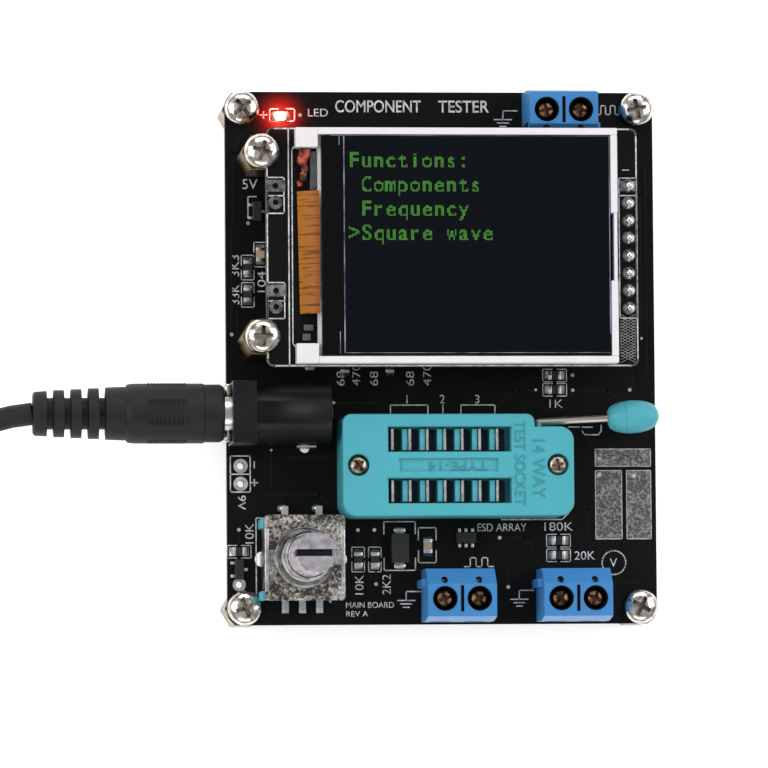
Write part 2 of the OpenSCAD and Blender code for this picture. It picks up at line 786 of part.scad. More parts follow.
module socket_slider() {
    color([0.25, 0.66, 0.71]) {
        difference() {
            box([slider_x0, socket_y - slider_l / 2, slider_z],
                [slider_x1, socket_y + slider_l / 2, slider_z + slider_t]);
            for (x = contact_xs, y = row_ys) box(
                [x - contact_t / 2 - slider_gap, y - contact_l / 2 - slider_gap, slider_z - 1],
                [x + contact_t / 2 + slider_travel + slider_gap, y + contact_l / 2 + slider_gap,
                    slider_z + slider_t + 1]);
        }
        for (i = [0 : contact_count - 2], y = row_ys) {
            x = contact_xs[i] + rib_off;
            box([x - rib_w / 2, y - contact_l / 2, slider_z + slider_t],
                [x + rib_w / 2, y + contact_l / 2, rib_top]);
        }
    }
}

module socket_contacts() {
    color("silver") for (x = contact_xs, y = row_ys) {
        box([x - contact_t / 2, y - contact_l / 2, top_z + 1],
            [x + contact_t / 2, y + contact_l / 2, contact_top]);
        translate([x, y, top_z - lead_drop]) cylinder(d = socket_pin_d, h = lead_drop + 1);
    }
}

module socket_screws() {
    top = top_z + socket_h - 0.3;
    color([0.6, 0.55, 0.5]) for (x = socket_screw_xs) translate([x, socket_y, top]) difference() {
        union() {
            translate([0, 0, -socket_head_h]) cylinder(d = socket_head_d, h = socket_head_h);
            translate([0, 0, top_z + 1 - top]) cylinder(d = socket_shank_d, h = top - top_z - 2);
        }
        cross_recess(socket_head_d * 0.7, 0.6, 0.9);
    }
}

module socket_lever() {
    color([0.55, 0.52, 0.5]) {
        translate([cam_x, axle_y0, cam_z]) rotate([-90, 0, 0])
            cylinder(d = lever_d, h = lever_y - axle_y0);
        translate([cam_x, socket_y - cam_l / 2, cam_z + cam_throw]) rotate([-90, 0, 0])
            cylinder(r = cam_r, h = cam_l);
        translate([cam_x, lever_y, cam_z]) {
            sphere(d = lever_d);
            rotate([0, 90, lever_skew]) cylinder(d = lever_d, h = knob_x + knob_l - 1.5);
        }
    }
}

module lever_knob() {
    r = knob_d / 2;
    color([0.25, 0.66, 0.71]) translate([cam_x, lever_y, cam_z]) rotate([0, 90, lever_skew])
        translate([0, 0, knob_x]) difference() {
            union() {
                intersection() {
                    translate([0, 0, r]) sphere(r);
                    translate([0, 0, 0.35]) cylinder(r = r, h = r);
                }
                translate([0, 0, r]) cylinder(r = r, h = knob_l - 2 * r);
                translate([0, 0, knob_l - r]) sphere(r);
            }
            translate([0, 0, -1]) cylinder(d = lever_d + 0.04, h = knob_l - 0.45);
        }
}

// ---- terminal blocks ----

module at_block(b) {
    translate([block_at(b)[0], block_at(b)[1], top_z]) rotate(block_way(b) > 0 ? 0 : 180) children();
}

// Puts its children at the screw of one of the six terminals
module at_terminal(n) {
    at_block(floor((n - 1) / 2)) translate([cell_x((n - 1) % 2), screw_y, 0]) children();
}

module terminal_body() {
    half = terminal_w / 2;
    rotate([90, 0, 90]) translate([0, 0, -half]) linear_extrude(terminal_w) polygon([
        [0, 0], [terminal_l, 0], [terminal_l, terminal_h - 3], [terminal_l - 2.3, terminal_h],
        [0.6, terminal_h], [0, terminal_h - 4]
    ]);
}

module terminal_cell() {
    opening_z = clamp_z0 + clamp_bar_t;
    box([-cell_w / 2, cell_y0, cell_floor], [cell_w / 2, cell_y1, cell_top]);
    box([-entry_w / 2, -1, opening_z], [entry_w / 2, cell_y0 + eps, opening_z + entry_h]);
    translate([0, screw_y, cell_top - 1]) cylinder(d = terminal_shank_d + 2 * terminal_gap, h = 3);
    translate([0, screw_y, shoulder_z]) cylinder(d = well_d, h = terminal_h);
    translate([0, bus_leg_y + 0.1, cell_top - 1]) cylinder(d = 1, h = terminal_h);
    translate([0, bus_leg_y + bus_leg_t / 2, -1]) cylinder(d = terminal_pin_d + 0.1, h = 3);
}

module terminal_housings() {
    half = terminal_w / 2;
    rib_t = 0.6;
    color([0.2, 0.5, 0.78]) for (b = [0 : 2]) at_block(b) difference() {
        union() {
            terminal_body();
            box([-half - rib_t, 4.9, 0], [-half, 6.1, terminal_h - 2.4]);
        }
        box([half - rib_t - 0.05, 4.8, -1], [half + 1, 6.2, terminal_h - 2.3]);
        for (i = [0, 1]) translate([cell_x(i), 0, 0]) terminal_cell();
        box([-0.25, 1.3, terminal_h - 1.5], [0.25, 5.1, terminal_h + 1]);
    }
}

module terminal_pins() {
    color("silver") for (b = [0 : 2], i = [0, 1]) at_block(b) translate([cell_x(i), 0, 0]) {
        box([-bus_w / 2, clamp_y0 + 0.4, bus_z], [bus_w / 2, bus_leg_y, bus_z + bus_t]);
        box([-bus_w / 2, bus_leg_y, cell_floor], [bus_w / 2, bus_leg_y + bus_leg_t, bus_z + bus_t]);
        translate([0, bus_leg_y + bus_leg_t / 2, -lead_drop])
            cylinder(d = terminal_pin_d, h = lead_drop + cell_floor);
    }
}

module terminal_screw(n) {
    color([0.55, 0.45, 0.38]) at_terminal(n) difference() {
        union() {
            translate([0, 0, shoulder_z]) cylinder(d = terminal_head_d, h = terminal_screw_top - shoulder_z);
            translate([0, 0, terminal_shank_z])
                cylinder(d = terminal_shank_d, h = shoulder_z - terminal_shank_z);
        }
        translate([0, 0, terminal_screw_top]) cross_recess(terminal_head_d * 0.8, 0.6, 0.7);
    }
}

module terminal_clamp(n) {
    color("silver") at_terminal(n) translate([0, -screw_y, clamp_z0]) difference() {
        box([-clamp_w / 2, clamp_y0, 0], [clamp_w / 2, clamp_y1, clamp_h]);
        box([-clamp_w / 2 + clamp_wall, clamp_y0 - 1, clamp_bar_t],
            [clamp_w / 2 - clamp_wall, clamp_y1 + 1, clamp_h - clamp_bar_t]);
        translate([0, screw_y, clamp_h / 2]) cylinder(d = terminal_shank_d + 2 * terminal_gap, h = clamp_h);
    }
}

// ---- power jack ----

module jack_housing() {
    floor_t = 0.3;
    color([0.07, 0.07, 0.08]) difference() {
        union() {
            box([jack_x0, jack_y - jack_w / 2, top_z], [jack_x0 + jack_front_l, jack_y + jack_w / 2, top_z + jack_h]);
            box([jack_x0 + jack_front_l, jack_y - jack_w / 2 + 0.2, top_z],
                [jack_x1, jack_y + jack_w / 2 - 0.2, jack_axis_z]);
            rod_x([jack_x0 + jack_front_l, jack_y, jack_axis_z], jack_w - 0.4, jack_l - jack_front_l);
        }
        rod_x([jack_x0 - 1, jack_y, jack_axis_z], jack_bore_d, jack_depth + 1);
        rod_x([jack_x0 + 1, jack_y, jack_axis_z], jack_pin_d, jack_l);
        jack_spring_slot();
    }
}

// Passage for the sleeve spring's tail
module jack_spring_slot() {
    box([jack_spring_x - jack_blade_t / 2, jack_y - jack_blade_w / 2, top_z - 1],
        [jack_spring_x + jack_blade_t / 2, jack_y + jack_blade_w / 2, jack_axis_z]);
}

module jack_contacts() {
    spring_z = jack_axis_z - barrel_d / 2 - jack_blade_t;
    tail_z = top_z - lead_drop;
    t = jack_blade_t / 2;
    w = jack_blade_w / 2;
    color("silver") {
        rod_x([jack_pin_x0, jack_y, jack_axis_z], jack_pin_d, jack_x1 - jack_pin_x0);
        box([jack_x1, jack_y - w, tail_z], [jack_x1 + jack_blade_t, jack_y + w, jack_axis_z + 1]);
        box([jack_spring_x - t, jack_y - w, tail_z], [jack_spring_x + t, jack_y + w, spring_z]);
        box([jack_spring_x - 3, jack_y - 0.5, spring_z - 0.02],
            [jack_spring_x + t, jack_y + 0.5, spring_z + jack_blade_t - 0.02]);
        box([jack_side[0] - 1.4, jack_side[1] - t, top_z], [jack_side[0] + 1.4, jack_side[1] + t, top_z + 3.4]);
        box([jack_side[0] - w, jack_side[1] - t, tail_z], [jack_side[0] + w, jack_side[1] + t, top_z]);
    }
}

// ---- rotary encoder, drawn from its axis and the board's top ----

module at_encoder() {
    translate([enc_x, enc_y, top_z]) children();
}

module encoder_base() {
    color([0.2, 0.56, 0.56]) at_encoder() difference() {
        translate([0, 0, 0.3]) round_plate(enc_base_w, enc_base_l, enc_base_h - 0.3, 0.5);
        translate([0, 0, 1.5]) cylinder(d = rotor_cavity_d, h = enc_base_h);
        translate([0, 0, button_floor]) cylinder(d = button_d + 0.2, h = enc_base_h);
    }
}

module encoder_frame() {
    top = encoder_h - encoder_sheet;
    outer = encoder_w / 2;
    color("silver") at_encoder() {
        difference() {
            translate([0, 0, top]) round_plate(encoder_w, encoder_l, encoder_sheet, 0.6);
            translate([0, 0, top - 1]) cylinder(d = window_d, h = 3);
            box([-enc_base_w / 2, -key_w / 2, top - 1], [enc_base_w / 2, key_w / 2, top + 2]);
        }
        for (m = [0, 1]) mirror([m, 0, 0]) {
            box([outer - encoder_sheet, -frame_side_l / 2, 0.3], [outer, frame_side_l / 2, top]);
            box([outer - encoder_sheet, -lug_w / 2, -lead_drop], [outer, lug_w / 2, 0.3]);
        }
    }
}

module encoder_bushing() {
    top = encoder_h + bushing_h;
    key = [enc_base_w / 2 - 0.05, key_w / 2 - 0.05];
    color([0.66, 0.66, 0.67]) at_encoder() difference() {
        union() {
            translate([0, 0, enc_base_h])
                round_plate(enc_base_w, enc_base_l, encoder_h - encoder_sheet - enc_base_h, 0.5);
            translate([0, 0, encoder_h - encoder_sheet - eps])
                cylinder(d = window_d - 0.1, h = encoder_sheet + 0.4);
            box([-key[0], -key[1], encoder_h - encoder_sheet - eps], [key[0], key[1], encoder_h]);
            translate([0, 0, encoder_h]) cylinder(d = bushing_d, h = bushing_h - 0.4);
            translate([0, 0, top - 0.4]) cylinder(d1 = bushing_d, d2 = bushing_d - 0.5, h = 0.4);
        }
        cylinder(d = shaft_d + 2 * shaft_gap, h = top + 1);
    }
}

module drive_section(gap) {
    intersection() {
        circle(d = drive_d + 2 * gap);
        translate([-drive_d, -drive_d]) square([drive_d + drive_flat + gap, 2 * drive_d]);
    }
}

module encoder_rotor() {
    color([0.85, 0.83, 0.78]) at_encoder() translate([0, 0, rotor_z]) linear_extrude(rotor_t)
        difference() {
            circle(d = rotor_d);
            drive_section(shaft_gap);
        }
}

module encoder_shaft() {
    teeth = [for (i = [0 : 2 * spline_count - 1])
        let (a = i * 180 / spline_count, r = shaft_d / 2 - (i % 2) * 0.25) [r * cos(a), r * sin(a)]];
    slot_w = 1;
    slot_depth = 5;
    color([0.72, 0.72, 0.73]) at_encoder() difference() {
        union() {
            translate([0, 0, drive_bottom]) linear_extrude(drive_top - drive_bottom) drive_section(0);
            translate([0, 0, drive_top]) cylinder(d = shaft_d, h = spline_z - drive_top);
            translate([0, 0, spline_z]) linear_extrude(shaft_top - spline_z) polygon(teeth);
        }
        box([-shaft_d, -slot_w / 2, shaft_top - slot_depth], [shaft_d, slot_w / 2, shaft_top + 1]);
    }
}

module encoder_button() {
    color([0.85, 0.83, 0.78]) at_encoder() translate([0, 0, drive_bottom - button_h])
        cylinder(d = button_d, h = button_h);
}

// ---- power lead ----

module plug_grip() {
    ring_count = 4;
    ring_pitch = 2.5;
    color([0.08, 0.08, 0.08]) difference() {
        union() {
            rod_x([grip_x0, plug_y, jack_axis_z], grip_d, grip_l);
            translate([relief_x0, plug_y, jack_axis_z]) rotate([0, 90, 0])
                cylinder(d1 = relief_d0, d2 = grip_d - 0.9, h = relief_l);
        }
        for (i = [0 : ring_count - 1]) relief_groove(relief_x0 + 2 + i * ring_pitch);
        rod_x([grip_x1 - 4, plug_y, jack_axis_z], barrel_d, 5);
    }
}

module relief_groove(x) {
    rod_l = 1;
    translate([x, plug_y, jack_axis_z]) rotate([0, 90, 0]) difference() {
        cylinder(d = grip_d + 1, h = rod_l);
        translate([0, 0, -1]) cylinder(d = cord_d + 1.2, h = rod_l + 2);
    }
}

module plug_barrel() {
    color("silver") difference() {
        rod_x([grip_x1 - 4, plug_y, jack_axis_z], barrel_d, jack_x0 + barrel_in - grip_x1 + 4);
        rod_x([jack_x0 + 0.4, plug_y, jack_axis_z], barrel_bore_d, barrel_in + 1);
    }
}

// Tube swept along a route: each ring stands square to the route at its point
module swept_tube(route, d) {
    sides = 8;
    last = len(route) - 1;
    rings = [for (i = [0 : last])
        let (
            way = route[min(i + 1, last)] - route[max(i - 1, 0)],
            ahead = way / norm(way),
            across = cross([0, 0, 1], ahead) / norm(cross([0, 0, 1], ahead)),
            up = cross(ahead, across)
        )
        for (k = [0 : sides - 1])
            route[i] + (d / 2) * (cos(k * 360 / sides) * across + sin(k * 360 / sides) * up)];
    walls = [for (i = [0 : last - 1], k = [0 : sides - 1]) let (n = (k + 1) % sides)
        [i * sides + k, i * sides + n, (i + 1) * sides + n, (i + 1) * sides + k]];
    polyhedron(points = rings, faces = concat([for (w = walls) [w[3], w[2], w[1], w[0]]], [
        [for (k = [0 : sides - 1]) k], [for (k = [sides - 1 : -1 : 0]) last * sides + k]
    ]), convexity = 6);
}

module lead_run() {
    color([0.07, 0.07, 0.07]) {
        swept_tube(run_route, cord_d);
        swept_tube(tail_route, cord_d);
    }
}

module lead_coil() {
    color([0.07, 0.07, 0.07]) translate([coil_x, coil_y, coil_z0]) rotate_extrude($fn = 96)
        translate([coil_r - cord_d / 2, 0]) square([cord_d, coil_h]);
}

module coil_tie() {
    tie_w = 3;
    side = cord_d / 2 + 0.15;
    color([0.12, 0.12, 0.12]) translate([coil_x, coil_y + coil_r, 0]) difference() {
        box([-tie_w / 2, -side - tie_t, 0], [tie_w / 2, side + tie_t, coil_z0 + coil_h + tie_t]);
        box([-tie_w, -side, coil_z0 - eps], [tie_w, side, coil_z0 + coil_h + eps]);
    }
}

module snap_body() {
    color([0.08, 0.08, 0.08]) translate([snap_x, snap_y0 + snap_size[1] / 2, 0]) difference() {
        round_plate(snap_size[0], snap_size[1], snap_size[2] - 0.6, snap_size[0] / 2 - 0.1);
        at_studs() translate([0, 0, snap_plate_h]) cylinder(d = 9, h = 5);
    }
}

module at_studs() {
    for (s = [-1, 1]) translate([0, s * snap_stud_pitch / 2, 0]) children();
}

module snap_studs() {
    color("silver") translate([snap_x, snap_y0 + snap_size[1] / 2, snap_plate_h]) {
        translate([0, -snap_stud_pitch / 2, 0]) cylinder(d = 5.7, h = 3);
        translate([0, snap_stud_pitch / 2, 0]) difference() {
            cylinder(d = 8.4, h = 2.8);
            translate([0, 0, 0.6]) cylinder(d = 5.9, h = 5);
        }
    }
}

main_board();
legs();
corner_screws();
display_posts();
display_screws();
display_board();
display_frame();
display_light_guide();
display_glass();
display_polariser();
display_flex();
header_strip();
header_pins();
header_socket();
microcontroller();
crystal();
small_packages();
chip_resistors();
chip_capacitors();
component_leads();
diode();
status_led();
probe_pads();
solder_joints();
socket_base();
socket_cover();
socket_slider();
socket_contacts();
socket_screws();
socket_lever();
lever_knob();
terminal_housings();
terminal_pins();
terminal_screw(1);  // terminal_screw_1
terminal_screw(2);  // terminal_screw_2
terminal_screw(3);  // terminal_screw_3
terminal_screw(4);  // terminal_screw_4
terminal_screw(5);  // terminal_screw_5
terminal_screw(6);  // terminal_screw_6
terminal_clamp(1);  // terminal_clamp_1
terminal_clamp(2);  // terminal_clamp_2
terminal_clamp(3);  // terminal_clamp_3
terminal_clamp(4);  // terminal_clamp_4
terminal_clamp(5);  // terminal_clamp_5
terminal_clamp(6);  // terminal_clamp_6
jack_housing();
jack_contacts();
encoder_base();
encoder_frame();
encoder_bushing();
encoder_rotor();
encoder_shaft();
encoder_button();
plug_grip();
plug_barrel();
lead_run();
lead_coil();
coil_tie();
snap_body();
snap_studs();
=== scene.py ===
import math

import bmesh
import bpy
from mathutils import Matrix, Vector, noise
from mathutils.bvhtree import BVHTree


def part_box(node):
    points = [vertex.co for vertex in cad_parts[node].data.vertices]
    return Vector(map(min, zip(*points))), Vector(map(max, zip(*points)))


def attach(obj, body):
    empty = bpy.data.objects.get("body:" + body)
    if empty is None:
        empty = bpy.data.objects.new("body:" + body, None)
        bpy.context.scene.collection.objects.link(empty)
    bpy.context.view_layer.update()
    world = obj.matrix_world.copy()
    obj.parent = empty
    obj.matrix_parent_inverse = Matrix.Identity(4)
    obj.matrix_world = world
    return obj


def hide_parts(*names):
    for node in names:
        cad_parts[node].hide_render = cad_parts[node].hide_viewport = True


MM = 0.001
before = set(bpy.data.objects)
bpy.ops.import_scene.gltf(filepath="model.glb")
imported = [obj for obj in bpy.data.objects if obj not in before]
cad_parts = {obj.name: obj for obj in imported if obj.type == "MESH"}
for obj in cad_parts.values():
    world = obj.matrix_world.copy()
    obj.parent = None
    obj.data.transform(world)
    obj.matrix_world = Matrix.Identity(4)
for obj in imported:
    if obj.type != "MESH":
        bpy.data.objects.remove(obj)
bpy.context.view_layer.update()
tester = "tester"


# ---- Camera ----
# A bench shot taken from almost straight above, a little left of the board and towards its near edge,
# far enough away that the tall parts lean only slightly.
def placed(name, data):
    """A new object in the scene."""
    made = bpy.data.objects.new(name, data)
    bpy.context.scene.collection.objects.link(made)
    return made


camera_aim = Vector((-8.42, -3.86, 11.6)) * MM
camera_way = Vector((0.0962, 0.0631, -1)).normalized()
camera_distance = 900 * MM
camera_roll = 0.0013
camera_data = bpy.data.cameras.new("bench_camera")
camera_data.lens = 288.7
camera_data.sensor_width = 36
camera_data.clip_start = 0.05
camera_data.clip_end = 10
camera = placed("bench_camera", camera_data)
back = -camera_way
side = Vector((math.cos(camera_roll), -math.sin(camera_roll), 0))
side = (side - side.dot(back) * back).normalized()
turn = Matrix((side, back.cross(side), back)).transposed().to_4x4()
camera.matrix_world = Matrix.Translation(camera_aim - camera_way * camera_distance) @ turn
bpy.context.scene.camera = camera


# ---- Battery lead ----
# A soft black vinyl lead, moulded to the plug at one end. Its spare length lies in a small coil beside
# the tester, and its far end is crimped into a 9 V battery snap.
class Value:
    """A socket of a shader tree. Arithmetic on it adds Math nodes to the tree."""

    def __init__(self, paint, socket):
        self.paint = paint
        self.socket = socket

    def math(self, operation, *values):
        return self.paint.node("ShaderNodeMath", {"operation": operation}, dict(enumerate(values)))

    def __add__(self, other):
        return self.math("ADD", self, other)

    def __sub__(self, other):
        return self.math("SUBTRACT", self, other)

    def __mul__(self, other):
        return self.math("MULTIPLY", self, other)

    def __rsub__(self, other):
        return self.math("SUBTRACT", other, self)

    def __gt__(self, other):
        return self.math("GREATER_THAN", self, other)

    def __lt__(self, other):
        return self.math("LESS_THAN", self, other)

    __radd__ = __add__
    __rmul__ = __mul__

    def abs(self):
        return self.math("ABSOLUTE", self)

    def sin(self):
        return self.math("SINE", self)

    def ramp(self, low, high, start=0.0, end=1.0):
        """The value carried from low..high to start..end, and held at the ends."""
        values = {0: self, 1: low, 2: high, 3: start, 4: end}
        return self.paint.node("ShaderNodeMapRange", {"clamp": True}, values)


class Paint:
    """One finish: a material, its Principled shader, and the ways to make nodes for it."""

    def __init__(self, name, colour, roughness, metallic=0.0, **fixed):
        self.material = bpy.data.materials.new(name)
        self.material.use_nodes = True
        self.tree = self.material.node_tree
        self.shader = self.tree.nodes["Principled BSDF"]
        self.feed("Base Color", colour)
        self.feed("Roughness", roughness)
        self.feed("Metallic", metallic)
        for key, value in fixed.items():
            self.feed(key.replace("_", " ").title().replace("Ior", "IOR"), value)

    def put(self, socket, value):
        if isinstance(value, Value):
            self.tree.links.new(value.socket, socket)
        elif socket.type == "RGBA":
            socket.default_value = (*value, 1.0) if len(value) == 3 else value
        else:
            socket.default_value = value

    def feed(self, key, value):
        self.put(self.shader.inputs[key], value)

    def node(self, kind, settings, values, out=0):
        made = self.tree.nodes.new(kind)
        for key, value in settings.items():
            setattr(made, key, value)
        for key, value in values.items():
            self.put(made.inputs[key], value)
        return Value(self, made.outputs[out])

    def place(self):
        return self.node("ShaderNodeTexCoord", {}, {}, "Object")

    def axis(self, letter):
        """One coordinate of the object, in metres."""
        return self.node("ShaderNodeSeparateXYZ", {}, {0: self.place()}, letter)

    def facing(self, letter):
        """One part of the way that the surface faces."""
        normal = self.node("ShaderNodeNewGeometry", {}, {}, "Normal")
        return self.node("ShaderNodeSeparateXYZ", {}, {0: normal}, letter)

    def stretched(self, scale):
        return self.node("ShaderNodeMapping", {}, {"Vector": self.place(), "Scale": scale})

    def noise(self, scale, detail=3.0, roughness=0.55, at=None):
        values = {"Vector": at or self.place(), "Scale": scale, "Detail": detail, "Roughness": roughness}
        return self.node("ShaderNodeTexNoise", {}, values)

    def cells(self, scale):
        """The distance from the middles of scattered cells."""
        return self.node("ShaderNodeTexVoronoi", {}, {"Vector": self.place(), "Scale": scale}, "Distance")

    def mix(self, share, first, second):
        made = self.tree.nodes.new("ShaderNodeMix")
        made.data_type = "RGBA"
        for socket, value in ((made.inputs[0], share), (made.inputs[6], first), (made.inputs[7], second)):
            self.put(socket, value)
        return Value(self, made.outputs[2])

    def colours(self, share, first, second):
        """The base colour, from the first to the second as the share goes from 0 to 1."""
        self.feed("Base Color", self.mix(share, first, second))

    def bump(self, height, distance, strength=0.6):
        values = {"Height": height, "Distance": distance, "Strength": strength}
        self.feed("Normal", self.node("ShaderNodeBump", {}, values))


vinyl = Paint("soft_black_vinyl", (0.009, 0.009, 0.009), 0.55, specular_ior_level=0.25)
grain = vinyl.noise(2600, 2)
patches = vinyl.noise(240, 3)
vinyl.colours(patches, (0.006, 0.006, 0.006), (0.012, 0.012, 0.012))
vinyl.feed("Roughness", patches * 0.2 + 0.45)
vinyl.bump(grain, 0.02 * MM)
lead_d = 3.3 * MM
run_route = [
    (-60, -8.5, 18), (-63, -8.9, 17.6), (-66, -9.6, 16.5), (-69, -10.5, 14.7), (-72, -11.6, 12.5),
    (-75, -12.9, 10.1), (-78, -14.3, 7.6), (-81, -15.9, 5.4), (-84, -17.7, 3.7), (-87, -19.7, 2.6),
    (-90, -21.9, 2.2), (-92.2, -23.8, 2.15),
]
tail_route = [
    (-120.75, -12, 10.2), (-120.75, -9, 10.1), (-120.75, -6, 9.3), (-120.75, -3, 7.7), (-120.75, 0, 5.7),
    (-120.75, 3, 4), (-120.75, 6, 2.9), (-120.75, 9.6, 2.6),
]
coil_middle = Vector((-104, -12, 2.15)) * MM
coil_r = 16.75 * MM
coil_rise = 3.4 * MM
coil_turns = 2.375
coil_start = math.radians(-45)
points_per_turn = 24

lead_points = [Vector(p) * MM for p in run_route[:-1]]
for i in range(round(coil_turns * points_per_turn) + 1):
    share = i / points_per_turn
    angle = coil_start - share * math.tau
    out = Vector((coil_r * math.cos(angle), coil_r * math.sin(angle), coil_rise * share))
    lead_points.append(coil_middle + out)
lead_points += [Vector(p) * MM for p in tail_route[1:]]

lead_curve = bpy.data.curves.new("lead", "CURVE")
lead_curve.dimensions = "3D"
lead_curve.bevel_depth = lead_d / 2
lead_curve.bevel_resolution = 5
lead_curve.use_fill_caps = True
spline = lead_curve.splines.new("POLY")
spline.points.add(len(lead_points) - 1)
for point, at in zip(spline.points, lead_points):
    point.co = (*at, 1)
lead_curve.materials.append(vinyl.material)
lead = placed("lead", lead_curve)
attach(lead, tester)
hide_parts("lead_run", "lead_coil")


# ---- Coil tie ----
# A strip of soft black plastic bent round the turns of the coil and pressed shut.
def finish_piece(name, bm, paint, slot, body=tester, replaces=(), crease=38, even=True):
    """Makes the mesh an object that rides on a body, in its finish, with smooth faces between its creases."""
    bmesh.ops.remove_doubles(bm, verts=bm.verts, dist=0.0005 * MM)
    bmesh.ops.recalc_face_normals(bm, faces=bm.faces)
    mesh = bpy.data.meshes.new(name)
    bm.to_mesh(mesh)
    bm.free()
    mesh.shade_smooth()
    mesh.set_sharp_from_angle(angle=math.radians(crease))
    for finish in paint if isinstance(paint, list) else [paint]:
        mesh.materials.append(finish.material)
    piece = placed(name, mesh)
    if even:
        piece.modifiers.new("even_faces", "WEIGHTED_NORMAL").keep_sharp = True
    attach(piece, body)
    if replaces:
        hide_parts(*replaces)
    return piece


def round_edges(bm, edges, width, segments=2):
    bmesh.ops.bevel(bm, geom=list(edges), offset=width, offset_type="OFFSET", affect="EDGES",
                    segments=segments, profile=0.5, material=-1, clamp_overlap=True)


def brick(bm, low, high, edge=0.0, segments=2):
    """A block from its low to its high corner, with its edges rounded."""
    low, high = Vector(low), Vector(high)
    size = high - low
    place = Matrix.Translation((low + high) / 2) @ Matrix.Diagonal((*size, 1))
    made = bmesh.ops.create_cube(bm, size=1, matrix=place)["verts"]
    if edge:
        round_edges(bm, {e for v in made for e in v.link_edges}, edge, segments)


def sharp_edges(bm, angle=35, rising=True):
    """The edges of a mesh that stand out by more than an angle in degrees."""
    limit = math.radians(angle)
    return [e for e in bm.edges if len(e.link_faces) == 2 and e.calc_face_angle(0) > limit
            and (e.is_convex or not rising)]


def from_node(node):
    """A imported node's shape as a closed mesh of whole faces, to be finished."""
    bm = bmesh.new()
    bm.from_mesh(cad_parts[node].data)
    bmesh.ops.remove_doubles(bm, verts=bm.verts, dist=0.001 * MM)
    bmesh.ops.dissolve_limit(bm, angle_limit=math.radians(0.5), verts=bm.verts, edges=bm.edges)
    return bm


def rounded(node, name, paint, slot, width, angle=35, segments=2, body=tester):
    """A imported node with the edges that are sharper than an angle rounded, in its finish."""
    bm = from_node(node)
    round_edges(bm, sharp_edges(bm, angle), width, segments)
    return finish_piece(name, bm, paint, slot, body=body, replaces=[node])


tie_piece = rounded("coil_tie", "tie", vinyl, "soft_black_vinyl", 0.15 * MM)


# ---- Battery snap ----
# A moulded vinyl cap with two pressed steel contacts: a stud and a six-leaved socket. The lead's two wires are
# riveted to them inside.
bright_steel = Paint("bright_steel", (0.72, 0.72, 0.71), 0.25, 1.0)
wear = bright_steel.noise(900, 5, 0.65)
bright_steel.feed("Roughness", wear.ramp(0.3, 0.7, 0.16, 0.42))
bright_steel.colours(wear, (0.56, 0.55, 0.53), (0.82, 0.82, 0.81))
bright_steel.bump(bright_steel.noise(1500, 4), 0.01 * MM)
def turned(bm, profile, centre, way=(0, 0, 1), steps=32):
    """A round shape from its profile of (radius, height) pairs, spun about an axis through centre."""
    before = set(bm.verts)
    chain = [bm.verts.new((r, 0, h)) for r, h in profile]
    edges = [bm.edges.new(pair) for pair in zip(chain, chain[1:])]
    bmesh.ops.spin(bm, geom=chain + edges, cent=(0, 0, 0), axis=(0, 0, 1), angle=math.tau, steps=steps,
                   use_merge=True, use_duplicate=False)
    bmesh.ops.remove_doubles(bm, verts=[v for v in bm.verts if v not in before], dist=0.0005 * MM)
    made = [v for v in bm.verts if v not in before]
    lean = Vector((0, 0, 1)).rotation_difference(Vector(way)).to_matrix().to_4x4()
    bmesh.ops.transform(bm, matrix=Matrix.Translation(centre) @ lean, verts=made)
    return made


snap_piece = rounded("snap_body", "snap_cap", vinyl, "soft_black_vinyl", 0.5 * MM, 60, 3)
stud_piece = rounded("snap_studs", "snap_contacts", bright_steel, "bright_steel", 0.35 * MM, 60, 3)


# ---- Plug ----
# A 5.5 mm barrel plug. Its vinyl grip and ribbed strain relief are one moulding over the lead, with a square
# textured thumb pad on top and knurled bands at the sides. The barrel is nickel plated.
grip_low, grip_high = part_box("plug_grip")
plug_axis = Vector((0, (grip_low.y + grip_high.y) / 2, (grip_low.z + grip_high.z) / 2))
grip_r = (grip_high.z - grip_low.z) / 2
relief_l = 13.3 * MM
relief_r0 = 3.2 * MM
relief_r1 = 3.9 * MM
relief_slots = 4
slot_pitch = 2.5 * MM
slot_l = 1.0 * MM
slot_floor_r = 2.3 * MM
nose_l = 3.0 * MM


def relief_profile():
    """The strain relief's outline from the lead's end: ribs that grow, with slots between them."""
    outline = [(lead_d / 2, 0), (relief_r0 - 0.3 * MM, 0), (relief_r0, 0.3 * MM)]
    for i in range(relief_slots):
        start = 2 * MM + i * slot_pitch
        r = relief_r0 + (relief_r1 - relief_r0) * start / relief_l
        outline += [(r, start), (slot_floor_r, start + 0.1 * MM), (slot_floor_r, start + slot_l - 0.1 * MM)]
        outline += [(r + 0.1 * MM, start + slot_l)]
    return outline + [(relief_r1, relief_l - 0.2 * MM)]


